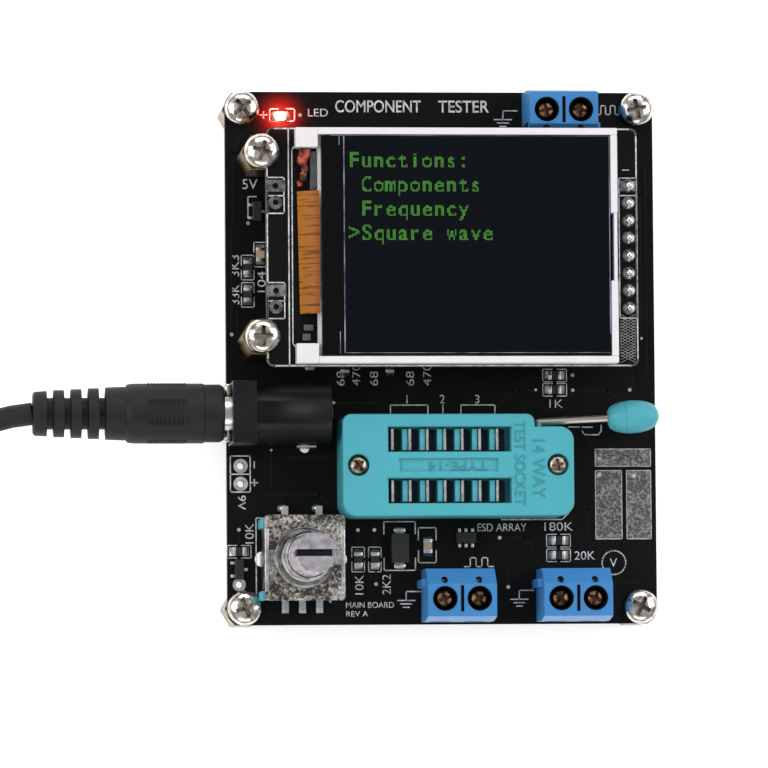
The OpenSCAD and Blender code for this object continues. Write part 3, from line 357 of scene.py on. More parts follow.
grip_start = grip_low.x + relief_l
body_l = grip_high.x - grip_start
grip_profile = relief_profile() + [
    (grip_r - 0.5 * MM, relief_l), (grip_r - 0.1 * MM, relief_l + 0.4 * MM), (grip_r, relief_l + 1.2 * MM),
    (grip_r, relief_l + body_l - nose_l), (grip_r - 0.15 * MM, relief_l + body_l - nose_l + 0.1 * MM),
    (grip_r - 0.15 * MM, relief_l + body_l - 0.6 * MM), (grip_r - 0.5 * MM, relief_l + body_l),
    (2.75 * MM, relief_l + body_l),
]
grip = bmesh.new()
turned(grip, grip_profile, Vector((grip_low.x, plug_axis.y, plug_axis.z)), (1, 0, 0), 48)
pad_x0, pad_x1 = grip_start + 3.1 * MM, grip_start + 8.8 * MM
pad_w = 3.9 * MM
pad_rows = 9
pad_top = plug_axis.z + grip_r - 0.02 * MM
for i in range(pad_rows):
    x = pad_x0 + (pad_x1 - pad_x0) * (i + 0.5) / pad_rows
    half = (pad_x1 - pad_x0) / pad_rows * 0.32
    brick(grip, (x - half, plug_axis.y - pad_w / 2, pad_top - 0.9 * MM),
          (x + half, plug_axis.y + pad_w / 2, pad_top), 0.05 * MM, 1)
knurls = 12
for i in range(knurls):
    x = pad_x0 + (pad_x1 - pad_x0) * (i + 0.5) / knurls
    for way in (-1, 1):
        y = plug_axis.y + way * (grip_r - 0.02 * MM)
        brick(grip, (x - 0.13 * MM, min(y, y - way * 0.5 * MM), plug_axis.z - 1.6 * MM),
              (x + 0.13 * MM, max(y, y - way * 0.5 * MM), plug_axis.z + 1.6 * MM), 0.05 * MM, 1)
grip_piece = finish_piece("plug_grip_moulding", grip, vinyl, "soft_black_vinyl", replaces=["plug_grip"])

barrel_piece = rounded("plug_barrel", "plug_sleeve", bright_steel, "bright_steel", 0.15 * MM, 60)


# ---- Floor and lights ----
# A plain pale sheet, a little lit from below as on a light table, with large soft lamps round it and none
# overhead: flat dark boards stay dark, while domed and bent metal still has something bright to reflect.
pale_sheet = Paint("pale_sheet", (0.9, 0.9, 0.895), 0.9, specular_ior_level=0.1)
pale_sheet.colours(pale_sheet.noise(30, 2), (0.89, 0.89, 0.885), (0.92, 0.92, 0.915))
pale_sheet.feed("Emission Color", (1, 1, 1))
pale_sheet.feed("Emission Strength", 0.45)
floor = bmesh.new()
bmesh.ops.create_grid(floor, x_segments=2, y_segments=2, size=1.2)
floor_mesh = bpy.data.meshes.new("floor")
floor.to_mesh(floor_mesh)
floor.free()
floor_mesh.materials.append(pale_sheet.material)
placed("floor", floor_mesh)


def lamp(name, at, size, power):
    data = bpy.data.lights.new(name, "AREA")
    data.shape = "RECTANGLE"
    data.size, data.size_y = size
    data.energy = power
    made = placed(name, data)
    made.location = at
    made.rotation_mode = "QUATERNION"
    made.rotation_quaternion = (camera_aim - Vector(at)).to_track_quat("-Z", "Y")


lamp("left_lamp", (-0.85, 0.1, 0.75), (0.7, 0.9), 6.8)
lamp("right_lamp", (0.85, 0.25, 0.8), (0.7, 0.9), 5.8)
lamp("far_lamp", (0.05, 0.95, 0.75), (1.0, 0.6), 5.6)
lamp("near_lamp", (-0.1, -0.95, 0.7), (1.0, 0.5), 4.2)
world = bpy.data.worlds.new("studio")
world.use_nodes = True
world.node_tree.nodes["Background"].inputs["Color"].default_value = (1, 1, 1, 1)
world.node_tree.nodes["Background"].inputs["Strength"].default_value = 0.4
bpy.context.scene.world = world
bpy.context.scene.view_settings.view_transform = "Standard"
bpy.context.scene.view_settings.look = "None"


# ---- Main board ----
# A two-layer glass epoxy board, 1.6 mm thick, under black solder mask. Its cut edges show the bare laminate.
# The copper tracks stand up a little under the mask. Round the indicator light a red glow is painted on the
# mask as emission, standing in for the lamp's light.
led_low, led_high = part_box("status_led")
led_middle = (led_low + led_high) / 2
painted_glow_reach = 5.2 * MM


solder_mask = Paint("solder_mask", (0.004, 0.004, 0.004), 0.35, specular_ior_level=0.1)
level = solder_mask.facing("Z").abs()
weave = solder_mask.noise(1400, 2) * 0.4 + solder_mask.noise(300, 2) * 0.6
mask_black = solder_mask.mix(weave, (0.0022, 0.0022, 0.0024), (0.0052, 0.0052, 0.0056))
layers = solder_mask.noise(700, 3, at=solder_mask.stretched((0.3, 0.3, 9)))
laminate = solder_mask.mix(layers, (0.05, 0.043, 0.035), (0.13, 0.115, 0.095))
solder_mask.colours(level.ramp(0.6, 0.75), laminate, mask_black)
solder_mask.feed("Roughness", level.ramp(0.6, 0.75, 0.8, 0.34) + weave * 0.1)
solder_mask.bump(weave, 0.015 * MM)
# Painted light: a red emission that fades away from the lamp stands in for its light falling on the mask.
away_x = solder_mask.axis("X") - led_middle.x
away_y = solder_mask.axis("Y") - led_middle.y
near = (away_x * away_x + away_y * away_y).ramp(0, painted_glow_reach ** 2, 1, 0)
solder_mask.feed("Emission Color", solder_mask.mix(near * near * near * near, (0, 0, 0), (0.5, 0.004, 0.004)))
solder_mask.feed("Emission Strength", 1.0)
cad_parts["main_board"].data.materials.clear()
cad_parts["main_board"].data.materials.append(solder_mask.material)
board_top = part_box("main_board")[1].z


def solids(node):
    """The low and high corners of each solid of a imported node, from left to right."""
    bm = bmesh.new()
    bm.from_mesh(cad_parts[node].data)
    bmesh.ops.remove_doubles(bm, verts=bm.verts, dist=0.001 * MM)
    left = set(bm.verts)
    found = []
    while left:
        stack = [left.pop()]
        island = list(stack)
        while stack:
            near = {e.other_vert(v) for v in [stack.pop()] for e in v.link_edges} & left
            left -= near
            stack += near
            island += near
        spans = [[v.co[k] for v in island] for k in range(3)]
        found.append((Vector(min(s) for s in spans), Vector(max(s) for s in spans)))
    bm.free()
    return sorted(found, key=lambda box: (round(box[0].x, 5), round(box[0].y, 5), round(box[0].z, 5)))


def letter_mesh(text, size, offset, extrude=0.0):
    """Lettering as a mesh, from the left end of its first line."""
    curve = bpy.data.curves.new("letters", "FONT")
    curve.body = text
    curve.size = size
    curve.offset = offset
    curve.extrude = extrude
    made = placed("letters", curve)
    mesh = bpy.data.meshes.new_from_object(made.evaluated_get(bpy.context.evaluated_depsgraph_get()))
    bpy.data.objects.remove(made)
    bpy.data.curves.remove(curve)
    return mesh


class Print:
    """Marks laid on a board at one height: strokes, frames, rings and lettering, collected in one mesh."""

    def __init__(self, z, thickness=0.02 * MM):
        self.bm = bmesh.new()
        self.z = z
        self.thickness = thickness

    def stroke(self, points, width=0.17):
        """A line through points in millimetres."""
        flat = [Vector(p) * MM for p in points]
        for a, b in zip(flat, flat[1:]):
            way = (b - a).normalized()
            middle = (a + b) / 2
            size = ((b - a).length + width * MM, width * MM, self.thickness)
            turn = Matrix.Rotation(math.atan2(way.y, way.x), 4, "Z")
            place = Matrix.Translation((middle.x, middle.y, self.z + self.thickness / 2)) @ turn
            bmesh.ops.create_cube(self.bm, size=1, matrix=place @ Matrix.Diagonal((*size, 1)))

    def outline(self, x0, y0, x1, y1, width=0.17):
        self.stroke([(x0, y0), (x1, y0), (x1, y1), (x0, y1), (x0, y0)], width)

    def brackets(self, x0, y0, x1, y1, gap, width=0.17):
        """A frame left open for a gap in the middle of its two longer sides."""
        if x1 - x0 < y1 - y0:
            middle, half = (y0 + y1) / 2, gap / 2
            self.stroke([(x0, middle + half), (x0, y1), (x1, y1), (x1, middle + half)], width)
            self.stroke([(x0, middle - half), (x0, y0), (x1, y0), (x1, middle - half)], width)
        else:
            middle, half = (x0 + x1) / 2, gap / 2
            self.stroke([(middle + half, y0), (x1, y0), (x1, y1), (middle + half, y1)], width)
            self.stroke([(middle - half, y0), (x0, y0), (x0, y1), (middle - half, y1)], width)

    def arc(self, x, y, r, start=0, end=360, width=0.17):
        steps = max(4, round(abs(end - start) / 15))
        angles = [math.radians(start + (end - start) * i / steps) for i in range(steps + 1)]
        self.stroke([(x + r * math.cos(a), y + r * math.sin(a)) for a in angles], width)

    def dot(self, x, y, r, sides=20):
        place = Matrix.Translation((x * MM, y * MM, self.z + self.thickness / 2))
        bmesh.ops.create_cone(self.bm, cap_ends=True, segments=sides, radius1=r * MM, radius2=r * MM,
                              depth=self.thickness, matrix=place)

    def ring(self, x, y, outer, inner):
        outline = [(inner * MM, 0), (outer * MM, 0), (outer * MM, self.thickness), (inner * MM, self.thickness)]
        turned(self.bm, outline + outline[:1], Vector((x * MM, y * MM, self.z)))

    def words(self, text, x, y, height, turned=0, width=None, weight=-0.006):
        """Lettering from its lower left corner; height is that of a capital. Width, if given, is the line's."""
        mesh = letter_mesh(text, height * MM / 0.7, weight * height * MM, self.thickness / 2)
        spread = [v.co.x for v in mesh.vertices]
        squeeze = width * MM / (max(spread) - min(spread)) if width else 1
        place = Matrix.Translation((x * MM, y * MM, self.z + self.thickness / 2))
        place = place @ Matrix.Rotation(math.radians(turned), 4, "Z") @ Matrix.Diagonal((squeeze, 1, 1, 1))
        mesh.transform(place @ Matrix.Translation((-min(spread), 0, 0)))
        self.bm.from_mesh(mesh)
        bpy.data.meshes.remove(mesh)

    def finish(self, name, paint, slot, **more):
        return finish_piece(name, self.bm, paint, slot, even=False, **more)


covered_copper = Paint("covered_copper", (0.007, 0.007, 0.007), 0.3, specular_ior_level=0.15)
covered_copper.colours(covered_copper.noise(900, 3), (0.004, 0.004, 0.0042), (0.009, 0.009, 0.0094))
covered_copper.bump(covered_copper.noise(1400, 2), 0.01 * MM)
tracks = Print(board_top - 0.005 * MM, 0.03 * MM)
for route in (
    [(28.2, -2.1), (28.2, -4.7)], [(19.4, -4.8), (24.5, -4.8), (27.6, -7.6)],
    [(13.9, -4.8), (10.5, -4.8), (8.6, -6.7)], [(-12.4, -25.2), (-12.4, -27.2)], [(-10, -25.2), (-10, -27.2)],
    [(-29.8, -25.1), (-29.8, -27.2)], [(-9.8, -33.1), (-9.8, -31)], [(-20.5, 35.6), (-17, 33.4), (-17, 32.8)],
    [(-30.4, 20), (-30.4, 30), (-28.9, 33)], [(-30.7, 3.5), (-30.7, 19)], [(-29.9, 3), (-29.9, 6.5)],
    [(-15.8, -6.6), (-9, -6.6)], [(10, -6.2), (13.2, -3)], [(20.5, -9), (20.5, -11), (22, -12.6)],
    [(19.6, -20.5), (21.4, -22.3), (21.4, -26.5)], [(8.4, -26.4), (12, -26.4), (13.4, -27.8)],
    [(-15.5, -26), (-15.5, -34.5), (-16.5, -35.5)], [(9.5, -30.5), (9.5, -33.5)], [(26.4, -33), (29, -33)],
    [(-3.4, -31.6), (-3.4, -30.4), (-0.5, -30.4)], [(25, 34), (27, 32)], [(29.6, 3), (29.6, 24), (28.6, 26)],
    [(30.4, -2), (30.4, 28)], [(-26, -20), (-18, -20), (-16.6, -21.4)], [(-25, -13.6), (-25, -19)],
    [(-23, -14.6), (-16.8, -14.6)], [(12.5, 36.9), (12.5, 34)], [(-30.9, -7), (-30.9, -3)],
):
    tracks.stroke(route, 0.3)
tracks.finish("board_tracks", covered_copper, "solder_mask")


# ---- Marks on the main board ----
# White epoxy ink, screened on: frames round the parts, plain values, contact numbers, polarity signs, and a
# plain title.
ink = Paint("white_ink", (0.72, 0.72, 0.71), 0.6)
wear = ink.noise(1100, 4, 0.7)
ink.colours(wear.ramp(0.35, 0.62), (0.26, 0.26, 0.27), (0.66, 0.66, 0.67))
ink.feed("Roughness", wear * 0.3 + 0.45)
ink.bump(wear, 0.008 * MM)
marks = Print(board_top)
marks.words("COMPONENT", -15.3, 36.05, 1.75, width=12.6, weight=0.012)
marks.words("TESTER", -0.15, 36.05, 1.75, width=7.5, weight=0.012)
marks.brackets(-24.9, 34.7, -21.3, 36.5, 1.2)
marks.stroke([(-26.3, 35.6), (-25.4, 35.6)])
marks.stroke([(-25.85, 35.15), (-25.85, 36.05)])

test_low, test_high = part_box("socket_cover")
edge_y = test_high.y / MM + 0.05
for text, left, right in (("1", -7.5, -2.0), ("3", 2.85, 7.85)):
    marks.stroke([(left, edge_y), (left, edge_y + 1.8), (right, edge_y + 1.8), (right, edge_y)])
    marks.words(text, (left + right) / 2 - 0.4, edge_y + 2.05, 1.25)
marks.stroke([(0.2, edge_y), (0.2, edge_y + 1.8)])
marks.words("2", -0.25, edge_y + 2.05, 1.25)
marks.stroke([(18.7, -10.2), (22.2, -10.25)])
marks.stroke([(20.7, -10.8), (21, -11.35), (23.1, -11.35), (23.5, -10.8), (23.5, -10)])
marks.stroke([(8.7, test_low.y / MM - 0.15), (17.6, test_low.y / MM - 0.15), (18.6, test_low.y / MM + 0.8)])

for text, x, y, height, angle, width in (
    ("LED", -19.3, 35.4, 1.15, 0, 2.9), ("1K", 15.9, -7.4, 1.25, 0, 2.0), ("180K", 15.0, -25.4, 1.25, 0, 4.2),
    ("20K", 19.4, -29.65, 1.25, 0, 3.0), ("ESD ARRAY", 5.15, -25.45, 1.15, 0, 7.2),
    ("10K", -11.65, -34.6, 1.25, 90, 2.8), ("2K2", -7.65, -34.6, 1.25, 90, 2.9),
    ("10K", -27.65, -27.1, 1.25, 90, 2.9), ("9V", -29.9, -20.1, 1.15, -90, 2.1),
    ("3K3", -29.55, 11.9, 1.3, 90, 3.1), ("33K", -29.55, 7.8, 1.3, 90, 2.9), ("104", -25.7, 9.6, 1.2, 90, 3.0),
    ("5V", -29.0, 24.7, 1.5, 0, 2.2), ("68", -14.2, -4.1, 1.2, 90, 2.1), ("470", -11.9, -4.1, 1.2, 90, 3.15),
    ("68", -9.3, -4.1, 1.2, 90, 2.1), ("68", -4.0, -4.1, 1.2, 90, 2.1), ("470", -1.5, -4.1, 1.2, 90, 3.15),
    ("MAIN BOARD", -14.2, -36.55, 0.85, 0, 7.0), ("REV A", -14.2, -37.8, 0.8, 0, 3.2),
):
    marks.words(text, x, y, height, angle, width)

for x, y, way in ((-5.4, -35.5, 1), (11.2, -35.4, 1), (9.4, 35.0, 1)):
    marks.stroke([(x + way * 2.1, y + 1.3), (x, y + 1.3), (x, y)])
    for half, drop in ((1.25, 0), (0.8, 0.5), (0.4, 1.0)):
        marks.stroke([(x - half, y - drop), (x + half, y - drop)])
for x, y, step in ((23.2, 35.8, 0.7), (3.2, -30.6, 0.85)):
    wave = [(x, y), (x + step, y), (x + step, y + 1.3), (x + 2 * step, y + 1.3), (x + 2 * step, y)]
    wave += [(x + 3 * step, y), (x + 3 * step, y + 1.3), (x + 4 * step, y + 1.3), (x + 4 * step, y)]
    marks.stroke(wave + [(x + 5 * step, y)])
marks.arc(25.2, -30.1, 1.75)
marks.words("V", 24.6, -30.7, 1.25)
marks.outline(-31, -19.6, -28.1, -14.35)
marks.stroke([(-31, -17), (-28.1, -17)])
marks.stroke([(-27.5, -15.2), (-27.5, -16.1)])
marks.stroke([(-27.5, -17.8), (-27.5, -18.7)])
marks.stroke([(-27.95, -18.25), (-27.05, -18.25)])
marks.stroke([(-28.2, 20.5), (-28.2, 23.6), (-27, 23.6)])
marks.brackets(-8.6, -31.1, -4.0, -24.0, 3.6)
marks.brackets(-3.55, -30.0, -0.95, -24.9, 1.6)
marks.stroke([(-25.8, -23.4), (-27.3, -23.4), (-27.3, -36)])
for low, high in solids("chip_resistors") + solids("chip_capacitors"):
    middle = (low + high) / 2 / MM
    if middle.y > -2 and middle.x > -25 and middle.x < 10 or middle.x > -3 and middle.x < 0:
        continue
    along_x = high.x - low.x < high.y - low.y
    half_x, half_y = (1.75, 0.92) if along_x else (0.92, 1.8)
    marks.brackets(middle.x - half_x, middle.y - half_y, middle.x + half_x, middle.y + half_y, 0.7, 0.13)
marks.finish("board_print", ink, "solder_mask")


# ---- Bare holes in the main board ----
# Small tinned rings round the holes that join the board's two sides, some filled with solder.
solder = Paint("solder", (0.7, 0.7, 0.69), 0.3, 1.0)
lumps = solder.noise(900, 4, 0.6)
solder.colours(lumps, (0.45, 0.45, 0.45), (0.86, 0.86, 0.85))
solder.feed("Roughness", lumps.ramp(0.35, 0.65, 0.18, 0.42))
solder.bump(lumps, 0.03 * MM, 0.5)
vias = Print(board_top, 0.03 * MM)
for x, y in ((-20.5, 35.6), (19.35, -2.6), (19.35, -4.8), (27.8, -4.75), (-12.4, -25.2), (-10, -25.2),
             (-9.8, -33.1), (-29.8, -25.1), (-28.2, 19.7), (8.4, -26.4), (-30.7, 3.4), (9.6, -33.6)):
    vias.dot(x, y, 0.27)
for x, y in ((13.9, -4.75), (-25, -13.5), (-16.5, -35.6), (12.5, 33.8), (29.6, 2.8), (-15.8, -6.6)):
    vias.dot(x, y, 0.2)
vias.finish("board_vias", solder, "tinned_metal")

for x, y, outer, inner in ((-29.5, -15.8, 1.05, 0.5), (-29.5, -18.4, 1.05, 0.5), (-29.8, -33.1, 0.95, 0.5)):
    rings = Print(board_top, 0.03 * MM)
    rings.ring(x, y, outer, inner)
    rings.finish(f"wire_hole_{abs(round(y))}", solder, "tinned_metal")


# ---- Legs and display posts ----
# Hexagonal brass stand-offs cut from drawn bar, tapped M3, with their ends chamfered.
brass = Paint("brass", (0.22, 0.14, 0.05), 0.4, 1.0)
drawn = brass.noise(500, 4, at=brass.stretched((1, 1, 0.08)))
brass.colours(drawn, (0.13, 0.08, 0.025), (0.3, 0.2, 0.075))
brass.feed("Roughness", drawn.ramp(0.3, 0.7, 0.2, 0.4))
brass.bump(drawn, 0.015 * MM)
for node, name in (("legs", "hexagonal_legs"), ("display_posts", "hexagonal_posts")):
    rounded(node, name, brass, "brass", 0.18 * MM, 50)


# ---- Pan-head screws ----
# Nickel-plated M3 screws with domed heads and a cross recess, which is painted darker inside as shade.
def nickel_paint(name, light, dark, rough):
    paint = Paint(name, light, rough, 1.0)
    wear = paint.noise(900, 5, 0.65)
    paint.colours(wear.ramp(0.4, 0.6), dark, light)
    paint.feed("Roughness", wear.ramp(0.3, 0.7, rough * 0.6, rough * 1.5))
    paint.bump(paint.noise(560, 3), 0.09 * MM, 0.7)
    return paint


def carved(bm, cutter):
    """The mesh with the cutter's volume taken out of it."""
    pair = []
    for name, part in (("blank", bm), ("cutter", cutter)):
        bmesh.ops.recalc_face_normals(part, faces=part.faces)
        mesh = bpy.data.meshes.new(name)
        part.to_mesh(mesh)
        part.free()
        pair.append(placed(name, mesh))
    cut = pair[0].modifiers.new("cut", "BOOLEAN")
    cut.operation = "DIFFERENCE"
    cut.object = pair[1]
    cut.use_self = True
    result = bpy.data.meshes.new_from_object(pair[0].evaluated_get(bpy.context.evaluated_depsgraph_get()))
    out = bmesh.new()
    out.from_mesh(result)
    for made in pair:
        bpy.data.objects.remove(made)
    bpy.data.meshes.remove(result)
    return out


def cross_cutter(cutter, top, arm, width, depth, spin):
    """A cross recess below a head's top: two tapering arms and a round middle."""
    for quarter in (0, 90):
        place = Matrix.Translation(top - Vector((0, 0, depth / 2)))
        place = place @ Matrix.Rotation(math.radians(spin + quarter), 4, "Z")
        place = place @ Matrix.Diagonal((arm, width, depth * 1.4, 1))
        for v in bmesh.ops.create_cube(cutter, size=1, matrix=place)["verts"]:
            if v.co.z < top.z - depth / 2:
                v.co.xy = top.xy + (v.co.xy - top.xy) * 0.72
    bmesh.ops.create_cone(cutter, cap_ends=True, segments=16, radius1=width * 0.45, radius2=width * 0.95,
                          depth=depth * 1.3, matrix=Matrix.Translation(top - Vector((0, 0, depth * 0.45))))


def headed_screws(places, r, h, shank_r, arm, width, depth, spins):
    """Screws with domed heads, from each head's seat and the shank's length, which is negative on a screw that
    points up. The cross's arm, width and depth cut a recess, whose faces take slot 1, the darker finish that
    paints shade in it."""
    bm, cutter = bmesh.new(), bmesh.new()
    for (seat, length), spin in zip(places, spins):
        way = 1 if length > 0 else -1
        profile = [(0, -abs(length)), (shank_r - 0.2 * MM, -abs(length)), (shank_r, 0.3 * MM - abs(length))]
        profile += [(shank_r, 0), (r * 0.97, 0), (r, 0.08 * h), (r, 0.36 * h), (0.96 * r, 0.56 * h)]
        profile += [(0.86 * r, 0.75 * h), (0.68 * r, 0.89 * h), (0.42 * r, 0.97 * h), (0, h)]
        turned(bm, profile, seat, (0, 0, way), 40)
        if way > 0:
            cross_cutter(cutter, seat + Vector((0, 0, h)), arm, width, depth, spin)
    done = carved(bm, cutter)
    # The recess's faces take the second, darker finish: painted shade.
    for face in done.faces:
        at = face.calc_center_median()
        for seat, length in places:
            height = at.z - seat.z
            steep = 0 < height < h * 0.93 and face.normal.z < 0.97
            if length > 0 and (at - seat).xy.length < arm * 0.52 and (steep or h * 0.2 < height < h * 0.75):
                face.material_index = 1
    return done


nickel = nickel_paint("nickel_plate", (0.8, 0.77, 0.73), (0.42, 0.37, 0.32), 0.17)
# A darker copy of the nickel, for the painted shade in the cross recesses.
nickel_recess_shade = nickel_paint("nickel_recess_shade", (0.5, 0.42, 0.35), (0.1, 0.07, 0.05), 0.2)
head_h = 2 * MM
pan_head = (2.55 * MM, head_h, 1.45 * MM, 3.1 * MM, 0.62 * MM, 1.25 * MM)
corner_places = []
for low, high in solids("corner_screws"):
    seat = Vector(((low.x + high.x) / 2, (low.y + high.y) / 2, high.z - head_h))
    corner_places.append((seat, seat.z - low.z))
corners = headed_screws(corner_places, *pan_head, (20, 38, 62, 12))
finish_piece("corner_screw_heads", corners, [nickel, nickel_recess_shade], "nickel_plated_steel",
             replaces=["corner_screws"])
display_places = []
for low, high in solids("display_screws"):
    middle = (low + high) / 2
    above, tip = (high.z - head_h, low.z) if high.z > 20 * MM else (low.z + head_h, high.z)
    seat = Vector((middle.x, middle.y, above))
    display_places.append((seat, seat.z - tip))
holders = headed_screws(display_places, *pan_head, (0, 0, 50, 75))
finish_piece("display_screw_heads", holders, [nickel, nickel_recess_shade], "nickel_plated_steel",
             replaces=["display_screws"])


# ---- Display board ----
# A smaller board in the same black mask. Its print frames the panel, the header and two pairs of bare pads.
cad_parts["display_board"].data.materials.clear()
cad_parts["display_board"].data.materials.append(solder_mask.material)
upper_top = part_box("display_board")[1].z
upper = Print(upper_top)
left, right, near, far = -26.35, 27.3, -2.0, 32.3
corner_r = 0.9
for x, y, start in ((right - corner_r, far - corner_r, 0), (left + corner_r, far - corner_r, 90),
                    (left + corner_r, near + corner_r, 180), (right - corner_r, near + corner_r, 270)):
    upper.arc(x, y, corner_r, start, start + 90, 0.2)
for y in (far, near):
    upper.stroke([(left + corner_r, y), (right - corner_r, y)], 0.2)
for x in (left, right):
    upper.stroke([(x, near + corner_r), (x, far - corner_r)], 0.2)
upper.stroke([(-23.25, far), (-23.25, near)], 0.18)
upper.stroke([(-21.6, 29.9), (-22.4, 29.7), (-22.75, 29.2), (-22.75, 1.2), (-22.3, 0.6), (-20.2, 0.5)], 0.15)
for top in (25.2, 10.0):
    upper.outline(-26.35, top - 5.2, -23.9, top, 0.17)
    upper.stroke([(-26.35, top - 2.65), (-23.9, top - 2.65)], 0.17)
upper.outline(24.75, 4.85, 27.25, 25.2, 0.15)
upper.stroke([(24.75, 22.65), (27.25, 22.65)], 0.15)
upper.words("1", 26.3, 26.3, 1.1, turned=90)
hatch_pitch, hatch_l = 0.42, 6.4
for i in range(round(hatch_l / hatch_pitch)):
    y = -1.6 + i * hatch_pitch
    upper.stroke([(24.8, y), (27.0, y + 1.1)], 0.035)
    upper.stroke([(24.8, y + 1.1), (27.0, y)], 0.035)
upper.finish("display_board_print", ink, "solder_mask")


pad_tin = Paint("pad_tin", (0.3, 0.3, 0.3), 0.35, 1.0)
grain = pad_tin.noise(1300, 4, 0.6)
pad_tin.colours(grain.ramp(0.35, 0.65), (0.1, 0.1, 0.1), (0.36, 0.36, 0.35))
pad_tin.feed("Roughness", grain * 0.3 + 0.2)
pad_tin.bump(grain, 0.02 * MM)
shadow = Paint("bare_shadow", (0.002, 0.002, 0.002), 0.9, specular_ior_level=0.1)
shadow.colours(shadow.noise(800), (0.001, 0.001, 0.001), (0.004, 0.004, 0.004))
bare = Print(upper_top, 0.03 * MM)
for y in (24.0, 8.85):
    bare.stroke([(-25.75, y), (-24.55, y)], 1.7)
for y in (21.6, 6.5):
    bare.ring(-25.15, y, 0.98, 0.36)
bare.stroke([(25.7, 24.05), (26.4, 24.05)], 1.5)
bare.finish("display_board_pads", pad_tin, "tinned_metal")
# Painted shade: black discs in the pads' middles stand in for the dark holes.
hole_shades = Print(upper_top + 0.02 * MM, 0.03 * MM)
for y in (24.0, 8.85, 21.6, 6.5):
    hole_shades.dot(-25.15, y, 0.42)
hole_shades.finish("display_board_hole_shades", shadow, "tinned_metal")


# ---- Display panel ----
# A colour panel in a white moulded frame: light guide, glass and front polariser.
white_frame = Paint("white_frame", (0.76, 0.74, 0.76), 0.55, specular_ior_level=0.4)
haze = white_frame.noise(220, 3)
white_frame.colours(haze, (0.60, 0.575, 0.60), (0.72, 0.695, 0.72))
white_frame.bump(white_frame.noise(1500, 2), 0.01 * MM)
shell_low, shell_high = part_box("display_frame")
wall = 1.0 * MM
block_l = 2.85 * MM
block_w = 3.2 * MM
shell = bmesh.new()
x0, x1, y0, y1, z0, z1 = shell_low.x, shell_high.x, shell_low.y, shell_high.y, shell_low.z, shell_high.z
thin_y0, thin_y1 = 10 * MM, 20 * MM
lap = 0.1 * MM
for low, high in (
    ((x0 + block_w, y1 - wall, z0), (x1, y1, z1)), ((x0 + block_w, y0, z0), (x1, y0 + wall, z1)),
    ((x0, y1 - block_l, z0), (x0 + block_w, y1, z1)), ((x0, y0, z0), (x0 + block_w, y0 + block_l, z1)),
    ((x1 - wall, y0 + wall, z0), (x1, thin_y0 + lap, z1)),
    ((x1 - wall * 0.55, thin_y0, z0), (x1 - 0.05 * MM, thin_y1, z1 - 0.15 * MM)),
    ((x1 - wall, thin_y1 - lap, z0), (x1, y1 - wall, z1)),
):
    brick(shell, low, high, 0.12 * MM)
brick(shell, (x0 + block_w, y0 + wall, z0), (x1 - wall, y1 - wall, z0 + 0.6 * MM))
finish_piece("panel_frame", shell, white_frame, "white_plastic", replaces=["display_frame"])

rounded("display_light_guide", "light_guide", white_frame, "white_plastic", 0.05 * MM, segments=1)


def glass_paint(name, colour, deep, rough):
    paint = Paint(name, colour, rough, specular_ior_level=0.1)
    haze = paint.noise(60, 3)
    paint.colours(haze, deep, colour)
    paint.feed("Roughness", paint.noise(300, 3) * 0.06 + rough)
    return paint


dark_glass = glass_paint("dark_glass", (0.0034, 0.0034, 0.0036), (0.0022, 0.0022, 0.0024), 0.2)
polariser_black = glass_paint("polariser_black", (0.0026, 0.0037, 0.0060), (0.0021, 0.0031, 0.0050), 0.16)
rounded("display_glass", "panel_glass", dark_glass, "display_glass", 0.1 * MM)
rounded("display_polariser", "panel_polariser", polariser_black, "polariser_film", 0.06 * MM, segments=1)


film_edge = Paint("film_edge", (0.16, 0.16, 0.18), 0.3, specular_ior_level=0.6)
film_edge.colours(film_edge.noise(250, 4).ramp(0.35, 0.65), (0.03, 0.03, 0.04), (0.3, 0.3, 0.33))
film_low, film_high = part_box("display_polariser")
glass_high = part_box("display_glass")[1]
rim = bmesh.new()
rim_w = 0.12 * MM
brick(rim, (film_low.x - rim_w, film_low.y + 0.3 * MM, film_low.z),
      (film_low.x + 0.03 * MM, film_high.y, film_high.z))
mark_x0, mark_x1 = film_low.x - 0.75 * MM, film_low.x - 0.66 * MM
for y0, y1 in ((film_low.y + 0.2 * MM, film_low.y + 3.4 * MM), (film_high.y - 1.3 * MM, film_high.y)):
    brick(rim, (mark_x0, y0, film_low.z), (mark_x1, y1, film_low.z + 0.04 * MM))
brick(rim, (film_low.x, film_low.y + 0.25 * MM, film_high.z),
      (film_high.x, film_low.y + 0.32 * MM, film_high.z + 0.01 * MM))
finish_piece("polariser_edges", rim, film_edge, "polariser_film")


# Painted highlight: the glass's edges are coloured pale lilac as if catching the light.
glass_edge_highlight = Paint("glass_edge_painted_highlight", (0.3, 0.29, 0.4), 0.3)
share = glass_edge_highlight.noise(120, 3).ramp(0.35, 0.7)
glass_edge_highlight.colours(share, (0.08, 0.08, 0.11), (0.42, 0.41, 0.55))
bright = bmesh.new()
proud = 0.08 * MM
brick(bright, (film_low.x - 2 * MM, film_high.y + 0.02 * MM, glass_high.z),
      (film_high.x, glass_high.y + proud, film_high.z))
brick(bright, (film_high.x - 0.1 * MM, film_low.y + 3 * MM, glass_high.z),
      (glass_high.x + proud, glass_high.y, film_high.z - 0.02 * MM))
finish_piece("glass_edges", bright, glass_edge_highlight, "display_glass")


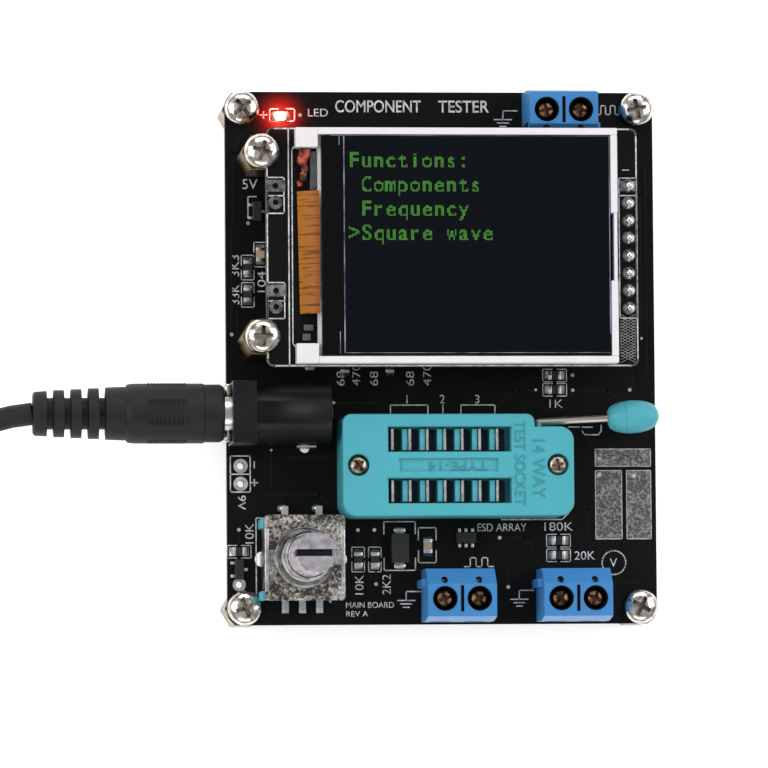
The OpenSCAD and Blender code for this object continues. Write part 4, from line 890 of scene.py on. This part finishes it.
lit_green = Paint("lit_picture", (0.01, 0.03, 0.008), 0.4, specular_ior_level=0.1)
glow = lit_green.noise(900, 3)
lit_green.feed("Emission Color", lit_green.mix(glow.ramp(0.3, 0.7), (0.03, 0.14, 0.014), (0.06, 0.21, 0.03)))
lit_green.feed("Emission Strength", 1.0)
def lit_words(lines, left, top, dot_w, z):
    """Lines of fixed-pitch lettering made of small square lights, 8 by 16 to a letter."""
    bm = bmesh.new()
    for row, text in enumerate(lines):
        for column, letter in enumerate(text):
            if letter == " ":
                continue
            mesh = letter_mesh(letter, 14.5, 0.16)
            tree = BVHTree.FromPolygons([v.co for v in mesh.vertices], [p.vertices for p in mesh.polygons])
            spread = [v.co.x for v in mesh.vertices]
            width = max(spread) - min(spread)
            squeeze = max(1.0, width / 7)
            start = (8 - width / squeeze) / 2
            for i in range(8):
                for j in range(16):
                    at = Vector((min(spread) + (i + 0.5 - start) * squeeze, 12 - j - 0.5, 1))
                    if tree.ray_cast(at, Vector((0, 0, -1)))[0] is None:
                        continue
                    x = left + (column * 8 + i) * dot_w
                    y = top - (row * 16 + j + 1) * dot_w
                    brick(bm, (x, y, z), (x + dot_w * 0.94, y + dot_w * 0.94, z + 0.01 * MM))
            bpy.data.meshes.remove(mesh)
    return bm


menu = ["Functions:", " Components", " Frequency", ">Square wave"]
picture = lit_words(menu, left=-14.8 * MM, top=29.1 * MM, dot_w=0.219 * MM, z=film_high.z)
finish_piece("lit_menu", picture, lit_green, "polariser_film", even=False)


# ---- Display flex ----
# Orange polyimide film from the edge of the glass, folded under the panel. It is darker and redder towards
# higher X.
orange_film = Paint("orange_film", (0.3, 0.1, 0.01), 0.45, specular_ior_level=0.2)
across = orange_film.axis("X").ramp(-21.6 * MM, -19.0 * MM)
patches = orange_film.noise(260, 3)
lines = orange_film.noise(240, 5, 0.7, at=orange_film.stretched((0.02, 9, 1))).ramp(0.55, 0.6)
tone = orange_film.mix(across + patches * 0.25 - 0.12, (0.33, 0.115, 0.003), (0.23, 0.065, 0.008))
orange_film.colours(lines * 0.8, tone, (0.07, 0.02, 0.003))
orange_film.feed("Roughness", patches * 0.2 + 0.3)
orange_film.bump(lines + patches * 0.5, 0.04 * MM)
flex = bmesh.new()
flex_x0, flex_x1, flex_y0, flex_y1 = -21.75 * MM, -19 * MM, 5.4 * MM, 23.1 * MM
fold_z, fold_h = 24.9 * MM, 1.75 * MM
steps, rows = 6, 12
grid = []
for j in range(rows + 1):
    skew = 0.35 * MM * j / rows
    grid.append([])
    for i in range(steps + 1):
        share = i / steps
        grid[j].append(flex.verts.new((
            flex_x0 + (flex_x1 - flex_x0) * share - skew * (1 - share),
            flex_y0 + (flex_y1 - flex_y0) * j / rows,
            fold_z + fold_h * math.sin(share * math.pi / 2))))
for a, b in zip(grid, grid[1:]):
    for i in range(steps):
        flex.faces.new((a[i], a[i + 1], b[i + 1], b[i]))
bmesh.ops.solidify(flex, geom=flex.faces[:] + flex.edges[:] + flex.verts[:], thickness=0.12 * MM)
finish_piece("folded_flex", flex, orange_film, "orange_film", replaces=["display_flex"])


red_film = Paint("red_film", (0.4, 0.05, 0.015), 0.35, specular_ior_level=0.5)
crumple = red_film.noise(700, 5, 0.7)
red_film.colours(crumple.ramp(0.45, 0.6), (0.02, 0.006, 0.005), (0.5, 0.055, 0.012))
red_film.bump(crumple, 0.1 * MM)
grey_film = Paint("grey_film", (0.05, 0.05, 0.052), 0.4)
grey_film.colours(grey_film.noise(300, 4).ramp(0.35, 0.65), (0.018, 0.018, 0.019), (0.1, 0.1, 0.1))
noise.seed_set(4)
folds = bmesh.new()
fold_places = ((-20.9, 28.7, 1.3, 1.3), (-21.3, 27.5, 1.2, 1.1), (-21.0, 26.4, 0.9, 1.2),
               (-21.2, 25.3, 0.9, 1.1), (-21.6, 28.4, 0.5, 1.6), (-21.8, 24.2, 0.8, 0.7))
for i, (x, y, wide, tall) in enumerate(fold_places):
    place = Matrix.Translation((x * MM, y * MM, 25.2 * MM))
    place = place @ Matrix.Diagonal((wide * MM * 0.62, tall * MM * 0.72, 0.6 * MM, 1))
    for v in bmesh.ops.create_icosphere(folds, subdivisions=2, radius=1, matrix=place)["verts"]:
        v.co += Vector(noise.noise_vector(v.co * 1400 + Vector((i, 0, 0)))) * 0.28 * MM
finish_piece("crumpled_flex", folds, red_film, "orange_film", crease=20)
tail = bmesh.new()
for low, high in (((-20.2, 23.3, 24.5), (-19.15, 28.9, 24.9)), ((-21.2, 3.0, 24.4), (-19.8, 3.9, 24.7)),
                  ((-21.4, 1.6, 24.4), (-20.2, 2.6, 24.7))):
    brick(tail, Vector(low) * MM, Vector(high) * MM, 0.1 * MM)
finish_piece("grey_film_tail", tail, grey_film, "orange_film")


# ---- Header ----
# Eight gold-plated pins in a black strip, soldered through the display board and plugged into a socket below.
black_nylon = Paint("black_nylon", (0.006, 0.006, 0.007), 0.45, specular_ior_level=0.2)
patches = black_nylon.noise(300, 3)
black_nylon.colours(patches, (0.0045, 0.0045, 0.0055), (0.008, 0.008, 0.0105))
black_nylon.feed("Roughness", patches * 0.2 + 0.3)
black_nylon.bump(black_nylon.noise(1800, 2), 0.015 * MM)
gold = Paint("gold_plate", (0.75, 0.5, 0.17), 0.25, 1.0)
gold.feed("Roughness", gold.noise(900, 3) * 0.2 + 0.15)
for node, name in (("header_strip", "pin_strip"), ("header_socket", "strip_socket")):
    rounded(node, name, black_nylon, "black_nylon", 0.12 * MM, 60, 1)
rounded("header_pins", "gold_pins", gold, "gold_plate", 0.1 * MM, 60, 1)
domes = bmesh.new()
for low, high in solids("solder_joints"):
    middle = (low + high) / 2
    if low.z > 20 * MM:
        profile = [(0.98 * MM, 0), (0.92 * MM, 0.12 * MM), (0.78 * MM, 0.42 * MM), (0.58 * MM, 0.72 * MM),
                   (0.42 * MM, 1.0 * MM), (0.36 * MM, 1.2 * MM), (0.22 * MM, 1.28 * MM), (0, 1.3 * MM)]
        turned(domes, profile, Vector((middle.x, middle.y, low.z)), steps=20)
    else:
        r = (high.x - low.x) / 2
        profile = [(r, 0), (r * 0.85, 0.2 * MM), (r * 0.55, 0.6 * MM), (r * 0.42, 1.0 * MM)]
        turned(domes, profile, Vector((middle.x, middle.y, high.z)), (0, 0, -1), steps=16)
finish_piece("solder_domes", domes, solder, "tinned_metal", replaces=["solder_joints"])


# ---- Parts soldered on the main board ----
# Chips, capacitors, a diode, a surge protector and a lamp, with tinned ends and leads set in fillets of solder.
epoxy = Paint("epoxy", (0.02, 0.02, 0.021), 0.5, specular_ior_level=0.4)
grain = epoxy.noise(1500, 4)
epoxy.colours(grain, (0.006, 0.006, 0.006), (0.02, 0.02, 0.02))
epoxy.bump(grain, 0.02 * MM)
ceramic = Paint("ceramic", (0.45, 0.3, 0.2), 0.5)
ceramic.colours(ceramic.noise(1200, 4), (0.34, 0.22, 0.14), (0.55, 0.4, 0.28))
for node, name, paint, slot, width in (
    ("chip_resistors", "resistor_bodies", epoxy, "epoxy", 0.05),
    ("chip_capacitors", "capacitor_bodies", ceramic, "ceramic", 0.06),
    ("small_packages", "package_bodies", epoxy, "epoxy", 0.12), ("diode", "diode_body", epoxy, "epoxy", 0.15),
    ("microcontroller", "controller", epoxy, "epoxy", 0.1),
    ("crystal", "crystal_can", solder, "tinned_metal", 0.12),
    ("component_leads", "leads_and_fillets", solder, "tinned_metal", 0.06),
):
    rounded(node, name, paint, slot, width * MM, 40)
caps_bm = bmesh.new()
for low, high in solids("chip_resistors") + solids("chip_capacitors"):
    middle = (low + high) / 2
    along_x = high.x - low.x < high.y - low.y
    reach, half_l, half_w = 0.67 * MM, 0.17 * MM, 0.63 * MM
    way, half = ((reach, 0, 0), (half_l, half_w, 0)) if along_x else ((0, reach, 0), (half_w, half_l, 0))
    middle.z = high.z + 0.02 * MM
    for end in (-1, 1):
        top = middle + Vector(way) * end
        brick(caps_bm, top - Vector(half) - Vector((0, 0, 0.3 * MM)), top + Vector(half), 0.06 * MM)
lead_in, lead_half = 0.45 * MM, 0.3 * MM
for low, high in solids("diode"):
    for y in (low.y - lead_in, high.y + lead_in):
        brick(caps_bm, (low.x + lead_in, y - lead_half, low.z + 0.7 * MM),
              (high.x - lead_in, y + lead_half, low.z + 1.15 * MM), 0.12 * MM)
finish_piece("plated_ends", caps_bm, solder, "tinned_metal")


red_lens = Paint("led_lens", (0.9, 0.3, 0.2), 0.3)
near = red_lens.noise(500, 2)
red_lens.feed("Emission Color", red_lens.mix(near.ramp(0.3, 0.7), (1.0, 0.3, 0.22), (1.0, 0.5, 0.4)))
red_lens.feed("Emission Strength", 9.0)
rounded("status_led", "lit_lens", red_lens, "led_lens", 0.1 * MM, 40)
spill = bpy.data.lights.new("lamp_spill", "SPOT")
spill.energy = 0.03
spill.spot_size = math.radians(150)
spill.spot_blend = 1.0
spill.color = (1, 0.03, 0.015)
spill.shadow_soft_size = 0.5 * MM
placed("lamp_spill", spill).location = (led_middle.x, led_middle.y, led_high.z + 1.0 * MM)


# ---- Test socket ----
# A lever socket in teal nylon: base, cover and the ribbed slider that the lever's cam pushes along.
def teal_paint(name, light, deep):
    paint = Paint(name, light, 0.42, specular_ior_level=0.25)
    patches = paint.noise(160, 3)
    paint.colours(patches, deep, light)
    paint.feed("Roughness", patches * 0.16 + 0.34)
    paint.bump(paint.noise(1500, 2), 0.012 * MM)
    return paint


teal = teal_paint("teal_nylon", (0.07, 0.355, 0.42), (0.058, 0.318, 0.378))
# A near-black teal, for painted shade.
teal_well_shade = teal_paint("teal_shade", (0.006, 0.035, 0.04), (0.003, 0.02, 0.024))
teal_edge = 0.28 * MM
rounded("socket_base", "test_socket_base", teal, "teal_plastic", 0.15 * MM, 50, 3)


def rounded_above(node, name, height, width, angle, segments, body=tester):
    """A teal part with only its edges above a height rounded."""
    bm = from_node(node)
    edges = [e for e in sharp_edges(bm, angle) if min(v.co.z for v in e.verts) > height]
    round_edges(bm, edges, width, segments)
    finish_piece(name, bm, teal, "teal_plastic", body=body, replaces=[node])


rounded_above("socket_cover", "test_socket_cover", test_high.z - 0.2 * MM, teal_edge, 50, 3)
rounded_above("socket_slider", "ribbed_slider", 18.5 * MM, 0.1 * MM, 60, 2, "socket_slider")
# Painted shade: near-black teal blocks fill the slider's wells beside the contacts.
wells = bmesh.new()
well_x0, well_x1, well_in = 0.2 * MM, 1.1 * MM, 0.02 * MM
well_z0, well_z1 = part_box("socket_slider")[1].z - 6 * MM, 17.75 * MM
for low, high in solids("socket_contacts"):
    brick(wells, (high.x + well_x0, low.y + well_in, well_z0), (high.x + well_x1, high.y - well_in, well_z1))
finish_piece("slider_well_shades", wells, teal_well_shade, "teal_plastic", body="socket_slider")
rounded("socket_contacts", "spring_contacts", bright_steel, "tinned_metal", 0.08 * MM, 60, 1)

# The moulded lettering is the cover's own nylon; its darker teal is painted shade.
shaded_teal_marks = teal_paint("shaded_teal_marks", (0.045, 0.25, 0.3), (0.038, 0.225, 0.27))
relief = Print(test_high.z - 0.5 * MM, 0.12 * MM)
relief.words("TYPE-14", 5.6, -15.75, 1.25, turned=180, width=8.6)
relief.z = test_high.z - 0.02 * MM
relief.words("TEST SOCKET", 9.5, -9.9, 1.6, turned=-90, width=12.2)
relief.words("14 WAY", 12.1, -12.6, 1.9, turned=-90, width=8.4)
relief.finish("moulded_marks", shaded_teal_marks, "teal_plastic", crease=30)


# ---- Socket screws ----
# Two small self-tapping screws, bronzed, sunk in the cover to hold it on its base.
bronze = nickel_paint("bronzed_steel", (0.5, 0.41, 0.33), (0.13, 0.08, 0.05), 0.24)
# A darker copy of the bronze, for the painted shade in the cross recesses.
bronze_recess_shade = nickel_paint("bronzed_recess_shade", (0.36, 0.27, 0.2), (0.06, 0.035, 0.02), 0.26)
tapper_head = (1.45 * MM, 1.1 * MM, 0.8 * MM, 1.9 * MM, 0.42 * MM, 0.7 * MM)
tappers = []
for low, high in solids("socket_screws"):
    seat = Vector(((low.x + high.x) / 2, (low.y + high.y) / 2, high.z - tapper_head[1]))
    tappers.append((seat, seat.z - low.z))
sunk = headed_screws(tappers, *tapper_head, (35, 12))
finish_piece("socket_screw_heads", sunk, [bronze, bronze_recess_shade], "screw_steel", replaces=["socket_screws"])


# ---- Socket lever ----
# One bent steel wire with the cam on it, and an egg-shaped teal knob pushed on its end.
wire_steel = Paint("wire_steel", (0.5, 0.47, 0.43), 0.3, 1.0)
drawn = wire_steel.noise(500, 4, at=wire_steel.stretched((0.06, 1, 1)))
wire_steel.colours(drawn.ramp(0.3, 0.7), (0.26, 0.22, 0.19), (0.7, 0.67, 0.62))
wire_steel.feed("Roughness", drawn * 0.3 + 0.15)
wire_steel.bump(drawn, 0.03 * MM)
rounded("socket_lever", "lever_wire", wire_steel, "wire_steel", 0.08 * MM, 60, 1, "socket_lever")
knob_l = 7.9 * MM
knob_r = 2.4 * MM
seam = 0.36
profile = [(0.56 * MM, 0.36 * MM), (0.9 * MM, 0.36 * MM), (1.25 * MM, 0.5 * MM)]
for i in range(1, 12):
    share = i / 12
    bulge = math.sin(math.acos(min(1.0, abs(2 * share - 1)))) ** 0.72
    profile.append((max(1.3 * MM, knob_r * bulge) if share < 0.3 else knob_r * bulge, knob_l * share))
profile.append((knob_r * 0.28, knob_l * 0.985))
profile.append((0, knob_l))
knob = bmesh.new()
lean = math.radians(3)
lever_way = Vector((math.cos(lean), math.sin(lean), 0))
lever_pivot = Vector((13.6, -9.8, 17.8)) * MM
knob_start = lever_pivot + lever_way * 9.7 * MM
turned(knob, profile, knob_start, lever_way, 48)
seam_r, seam_half = knob_r * 0.955, 0.06 * MM
seam_profile = [(seam_r, knob_l * seam - seam_half), (knob_r * 0.99, knob_l * seam),
                (seam_r, knob_l * seam + seam_half)]
turned(knob, seam_profile, knob_start, lever_way, 48)
finish_piece("lever_egg_knob", knob, teal, "teal_plastic", body="socket_lever", replaces=["lever_knob"])


# ---- Screw terminals ----
# Two-way rising-clamp blocks in blue nylon, their screws deep in round wells.
blue = Paint("blue_nylon", (0.042, 0.2, 0.46), 0.4, specular_ior_level=0.3)
patches = blue.noise(200, 3)
blue.colours(patches, (0.036, 0.175, 0.42), (0.048, 0.215, 0.49))
blue.feed("Roughness", patches * 0.15 + 0.32)
blue.bump(blue.noise(1500, 2), 0.012 * MM)
rounded("terminal_housings", "terminal_blocks", blue, "blue_plastic", 0.13 * MM, 20)
rounded("terminal_pins", "terminal_legs", solder, "tinned_metal", 0.08 * MM, 60, 1)
clamp_head = (1.5 * MM, 1.15 * MM, 1.25 * MM, 2.3 * MM, 0.5 * MM, 0.7 * MM)
well_r, well_floor, well_deep = 1.79 * MM, 19.52 * MM, 1.75 * MM
shades = bmesh.new()
collars = bmesh.new()
brown = nickel_paint("browned_steel", (0.3, 0.2, 0.13), (0.06, 0.03, 0.015), 0.28)
# A darker copy of the browned steel, for the painted shade in the cross recesses.
brown_recess_shade = nickel_paint("browned_recess_shade", (0.2, 0.1, 0.055), (0.03, 0.016, 0.01), 0.28)
block_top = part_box("terminal_housings")[1].z
for n in range(1, 7):
    low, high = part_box(f"terminal_screw_{n}")
    middle = (low + high) / 2
    seat = Vector((middle.x, middle.y, high.z - clamp_head[1]))
    screw = headed_screws([(seat, seat.z - low.z)], *clamp_head, (17 * n,))
    finish_piece(f"terminal_screw_head_{n}", screw, [brown, brown_recess_shade], "screw_steel",
                 body=f"terminal_screw_{n}", replaces=[f"terminal_screw_{n}"])
    rounded(f"terminal_clamp_{n}", f"rising_clamp_{n}", bright_steel, "bright_steel", 0.08 * MM, 60, 1,
            f"terminal_clamp_{n}")
    foot = (1.52 * MM, 0)
    profile = [foot, (well_r, 0), (well_r, well_deep), (well_r - 0.05 * MM, well_deep), foot]
    turned(shades, profile, Vector((middle.x, middle.y, well_floor)))
    profile = [(r * MM, z * MM) for r, z in ((1.82, 0), (2.05, 0), (2.02, 0.05), (1.86, 0.05), (1.82, 0))]
    turned(collars, profile, Vector((middle.x, middle.y, block_top - 0.01 * MM)), steps=40)
for low, high in solids("terminal_housings"):
    near_row = low.y < 0
    x = (low.x + high.x) / 2 + (0.3 * MM if near_row else -0.3 * MM)
    near, far = 1.35 * MM, 5.05 * MM
    y0, y1 = (low.y + near, low.y + far) if near_row else (high.y - far, high.y - near)
    brick(shades, (x - 0.24 * MM, y0, block_top - 1.5 * MM), (x + 0.24 * MM, y1, block_top - 0.25 * MM))
finish_piece("well_shades", shades, shadow, "blue_plastic")
finish_piece("well_rims", collars, blue, "blue_plastic")


# ---- Power jack ----
# A moulded black jack with a sprung side contact, and a bright metal front that the plug comes up against.
rounded("jack_housing", "jack_moulding", black_nylon, "black_nylon", 0.2 * MM, 50)
rounded("jack_contacts", "jack_blades", bright_steel, "tinned_metal", 0.06 * MM, 60, 1)
jack_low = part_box("jack_housing")[0]
lips = bmesh.new()
lip_x0, lip_x1, lip_z0 = jack_low.x - 0.95 * MM, jack_low.x - 0.05 * MM, 12.2 * MM
for y0, y1, top in ((-12.7, -11.0, 19.0), (-6.1, -4.3, 19.5)):
    brick(lips, (lip_x0, y0 * MM, lip_z0), (lip_x1, y1 * MM, top * MM), 0.25 * MM)
finish_piece("jack_front_lips", lips, nickel, "tinned_metal")


# ---- Rotary encoder ----
# A 12 mm encoder: teal base, folded and scratched steel frame, die-cast bushing, and a splined, slotted shaft.
stamped = Paint("stamped_steel", (0.6, 0.59, 0.57), 0.3, 1.0)
dents = stamped.noise(1900, 6, 0.75)
flakes = stamped.cells(1500)
patches = stamped.noise(230, 3)
tone = (dents + patches * 0.5 - 0.25).ramp(0.45, 0.66)
stamped.colours(tone, (0.05, 0.045, 0.04), (0.68, 0.65, 0.6))
stamped.feed("Roughness", dents.ramp(0.35, 0.65, 0.5, 0.18))
stamped.bump(dents + flakes * 0.3, 0.12 * MM, 0.8)
zinc = Paint("die_cast_zinc", (0.5, 0.5, 0.5), 0.35, 1.0)
scars = zinc.noise(600, 5, 0.65)
zinc.colours(scars.ramp(0.35, 0.65), (0.12, 0.12, 0.12), (0.5, 0.5, 0.49))
zinc.feed("Roughness", scars * 0.3 + 0.18)
zinc.bump(scars, 0.05 * MM)
aluminium = Paint("cut_aluminium", (0.62, 0.61, 0.64), 0.38, 1.0)
scars = aluminium.noise(800, 5, 0.6)
aluminium.colours(scars.ramp(0.3, 0.7), (0.36, 0.33, 0.37), (0.6, 0.57, 0.61))
aluminium.feed("Roughness", scars * 0.25 + 0.3)
aluminium.bump(scars, 0.03 * MM)
pale_nylon = Paint("pale_nylon", (0.7, 0.66, 0.56), 0.5)
pale_nylon.colours(pale_nylon.noise(400), (0.64, 0.6, 0.5), (0.74, 0.7, 0.6))
for node, name, paint, slot, width, body in (
    ("encoder_base", "encoder_tray", teal, "teal_plastic", 0.12, tester),
    ("encoder_frame", "encoder_shell", stamped, "bright_steel", 0.14, tester),
    ("encoder_rotor", "encoder_wheel", pale_nylon, "pale_nylon", 0.1, "encoder_rotor"),
    ("encoder_button", "encoder_plunger", pale_nylon, "pale_nylon", 0.1, "encoder_button"),
    ("encoder_shaft", "splined_shaft", aluminium, "cut_aluminium", 0.08, "encoder_shaft"),
    ("encoder_bushing", "plain_bushing", zinc, "zinc", 0.15, tester),
):
    rounded(node, name, paint, slot, width * MM, 50, 2, body)
encoder_axis = Vector((-20.7, -29.4, 0)) * MM
threads = bmesh.new()
crest_r, root_r = 3.56 * MM, 3.34 * MM
thread_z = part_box("encoder_bushing")[1].z - 5.2 * MM
turns = 7
pitch_z = 0.6 * MM
outline = [(3.1 * MM, 0)]
for i in range(turns):
    outline += [(root_r, i * pitch_z), (crest_r, (i + 0.45) * pitch_z)]
outline += [(root_r, turns * pitch_z), (3.1 * MM, turns * pitch_z + 0.1 * MM)]
turned(threads, outline, encoder_axis + Vector((0, 0, thread_z)), steps=48)
frame_low, frame_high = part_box("encoder_frame")
collar = [(r * MM, z * MM) for r, z in ((3.6, 0), (4.4, 0), (4.4, 0.35), (4.1, 0.7), (3.6, 0.7), (3.6, 0))]
turned(threads, collar, encoder_axis + Vector((0, 0, frame_high.z)), steps=48)
finish_piece("bushing_rings", threads, zinc, "zinc")
# The folds are real bends in the frame's steel; their brighter solder finish is a painted highlight.
side_folds = bmesh.new()
fold_w = 0.55 * MM
for x in (frame_low.x + 0.05 * MM, frame_high.x - 0.6 * MM):
    brick(side_folds, (x, frame_low.y + 1.3 * MM, frame_high.z - 0.3 * MM),
          (x + fold_w, frame_high.y - 2 * MM, frame_high.z + 0.06 * MM), 0.1 * MM)
finish_piece("encoder_folds", side_folds, solder, "bright_steel")
corner_feet = bmesh.new()
foot_x0, foot_x1 = frame_low.x - 0.5 * MM, frame_low.x + 0.4 * MM
for y, width in ((frame_low.y + 0.1 * MM, 1.3 * MM), (frame_high.y - 1.9 * MM, 1.4 * MM)):
    brick(corner_feet, (foot_x0, y, board_top + 0.1 * MM),
          (foot_x1, y + width, frame_high.z - 0.5 * MM), 0.15 * MM)
finish_piece("encoder_corner_feet", corner_feet, teal, "teal_plastic")
tab_blobs = bmesh.new()
for x in (-2.8, 2.2):
    for z, r in ((0.25, 0.75), (0.95, 0.5)):
        place = Matrix.Translation(encoder_axis + Vector((x * MM, 7.35 * MM, board_top + z * MM)))
        bmesh.ops.create_icosphere(tab_blobs, subdivisions=3, radius=r * MM, matrix=place)
finish_piece("encoder_solder", tab_blobs, solder, "tinned_metal")
shaft_top = encoder_axis + Vector((0, 0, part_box("encoder_shaft")[1].z))
# Painted shade: a block in the black nylon finish fills the shaft's slot so that it looks dark.
slot_shade = bmesh.new()
brick(slot_shade, shaft_top + Vector((-2.8, -0.5, -3)) * MM, shaft_top + Vector((2.3, 0.5, -0.9)) * MM)
finish_piece("slot_shade", slot_shade, black_nylon, "cut_aluminium", body="encoder_shaft")


# ---- Probe pads ----
# Three bare pads for touching parts against, hot-air levelled, so that the tin on them is speckled.
levelled_tin = Paint("levelled_tin", (0.35, 0.35, 0.34), 0.4, 1.0)
speck = levelled_tin.noise(2600, 5, 0.75)
large = levelled_tin.noise(350, 3)
tone = (speck + large * 0.2).ramp(0.56, 0.76)
levelled_tin.colours(tone, (0.105, 0.1, 0.095), (0.46, 0.44, 0.42))
levelled_tin.feed("Roughness", speck * 0.4 + 0.2)
levelled_tin.bump(speck, 0.04 * MM, 0.8)
rounded("probe_pads", "probe_plates", levelled_tin, "tinned_metal", 0.06 * MM, 60, 1)
pad_vias_and_highlights = Print(board_top + 0.075 * MM, 0.04 * MM)
for x, y in ((23.2, -14.9), (23.2, -17.2), (28.2, -17.4)):
    pad_vias_and_highlights.dot(x, y, 0.3)
# Painted highlights: pale ink lines just inside each pad's edge stand in for the light on its rounded rim.
for low, high in solids("probe_pads"):
    pad_vias_and_highlights.outline(low.x / MM + 0.06, low.y / MM + 0.06, high.x / MM - 0.06, high.y / MM - 0.06, 0.1)
pad_vias_and_highlights.finish("probe_plate_vias_and_edge_highlights", ink, "tinned_metal")
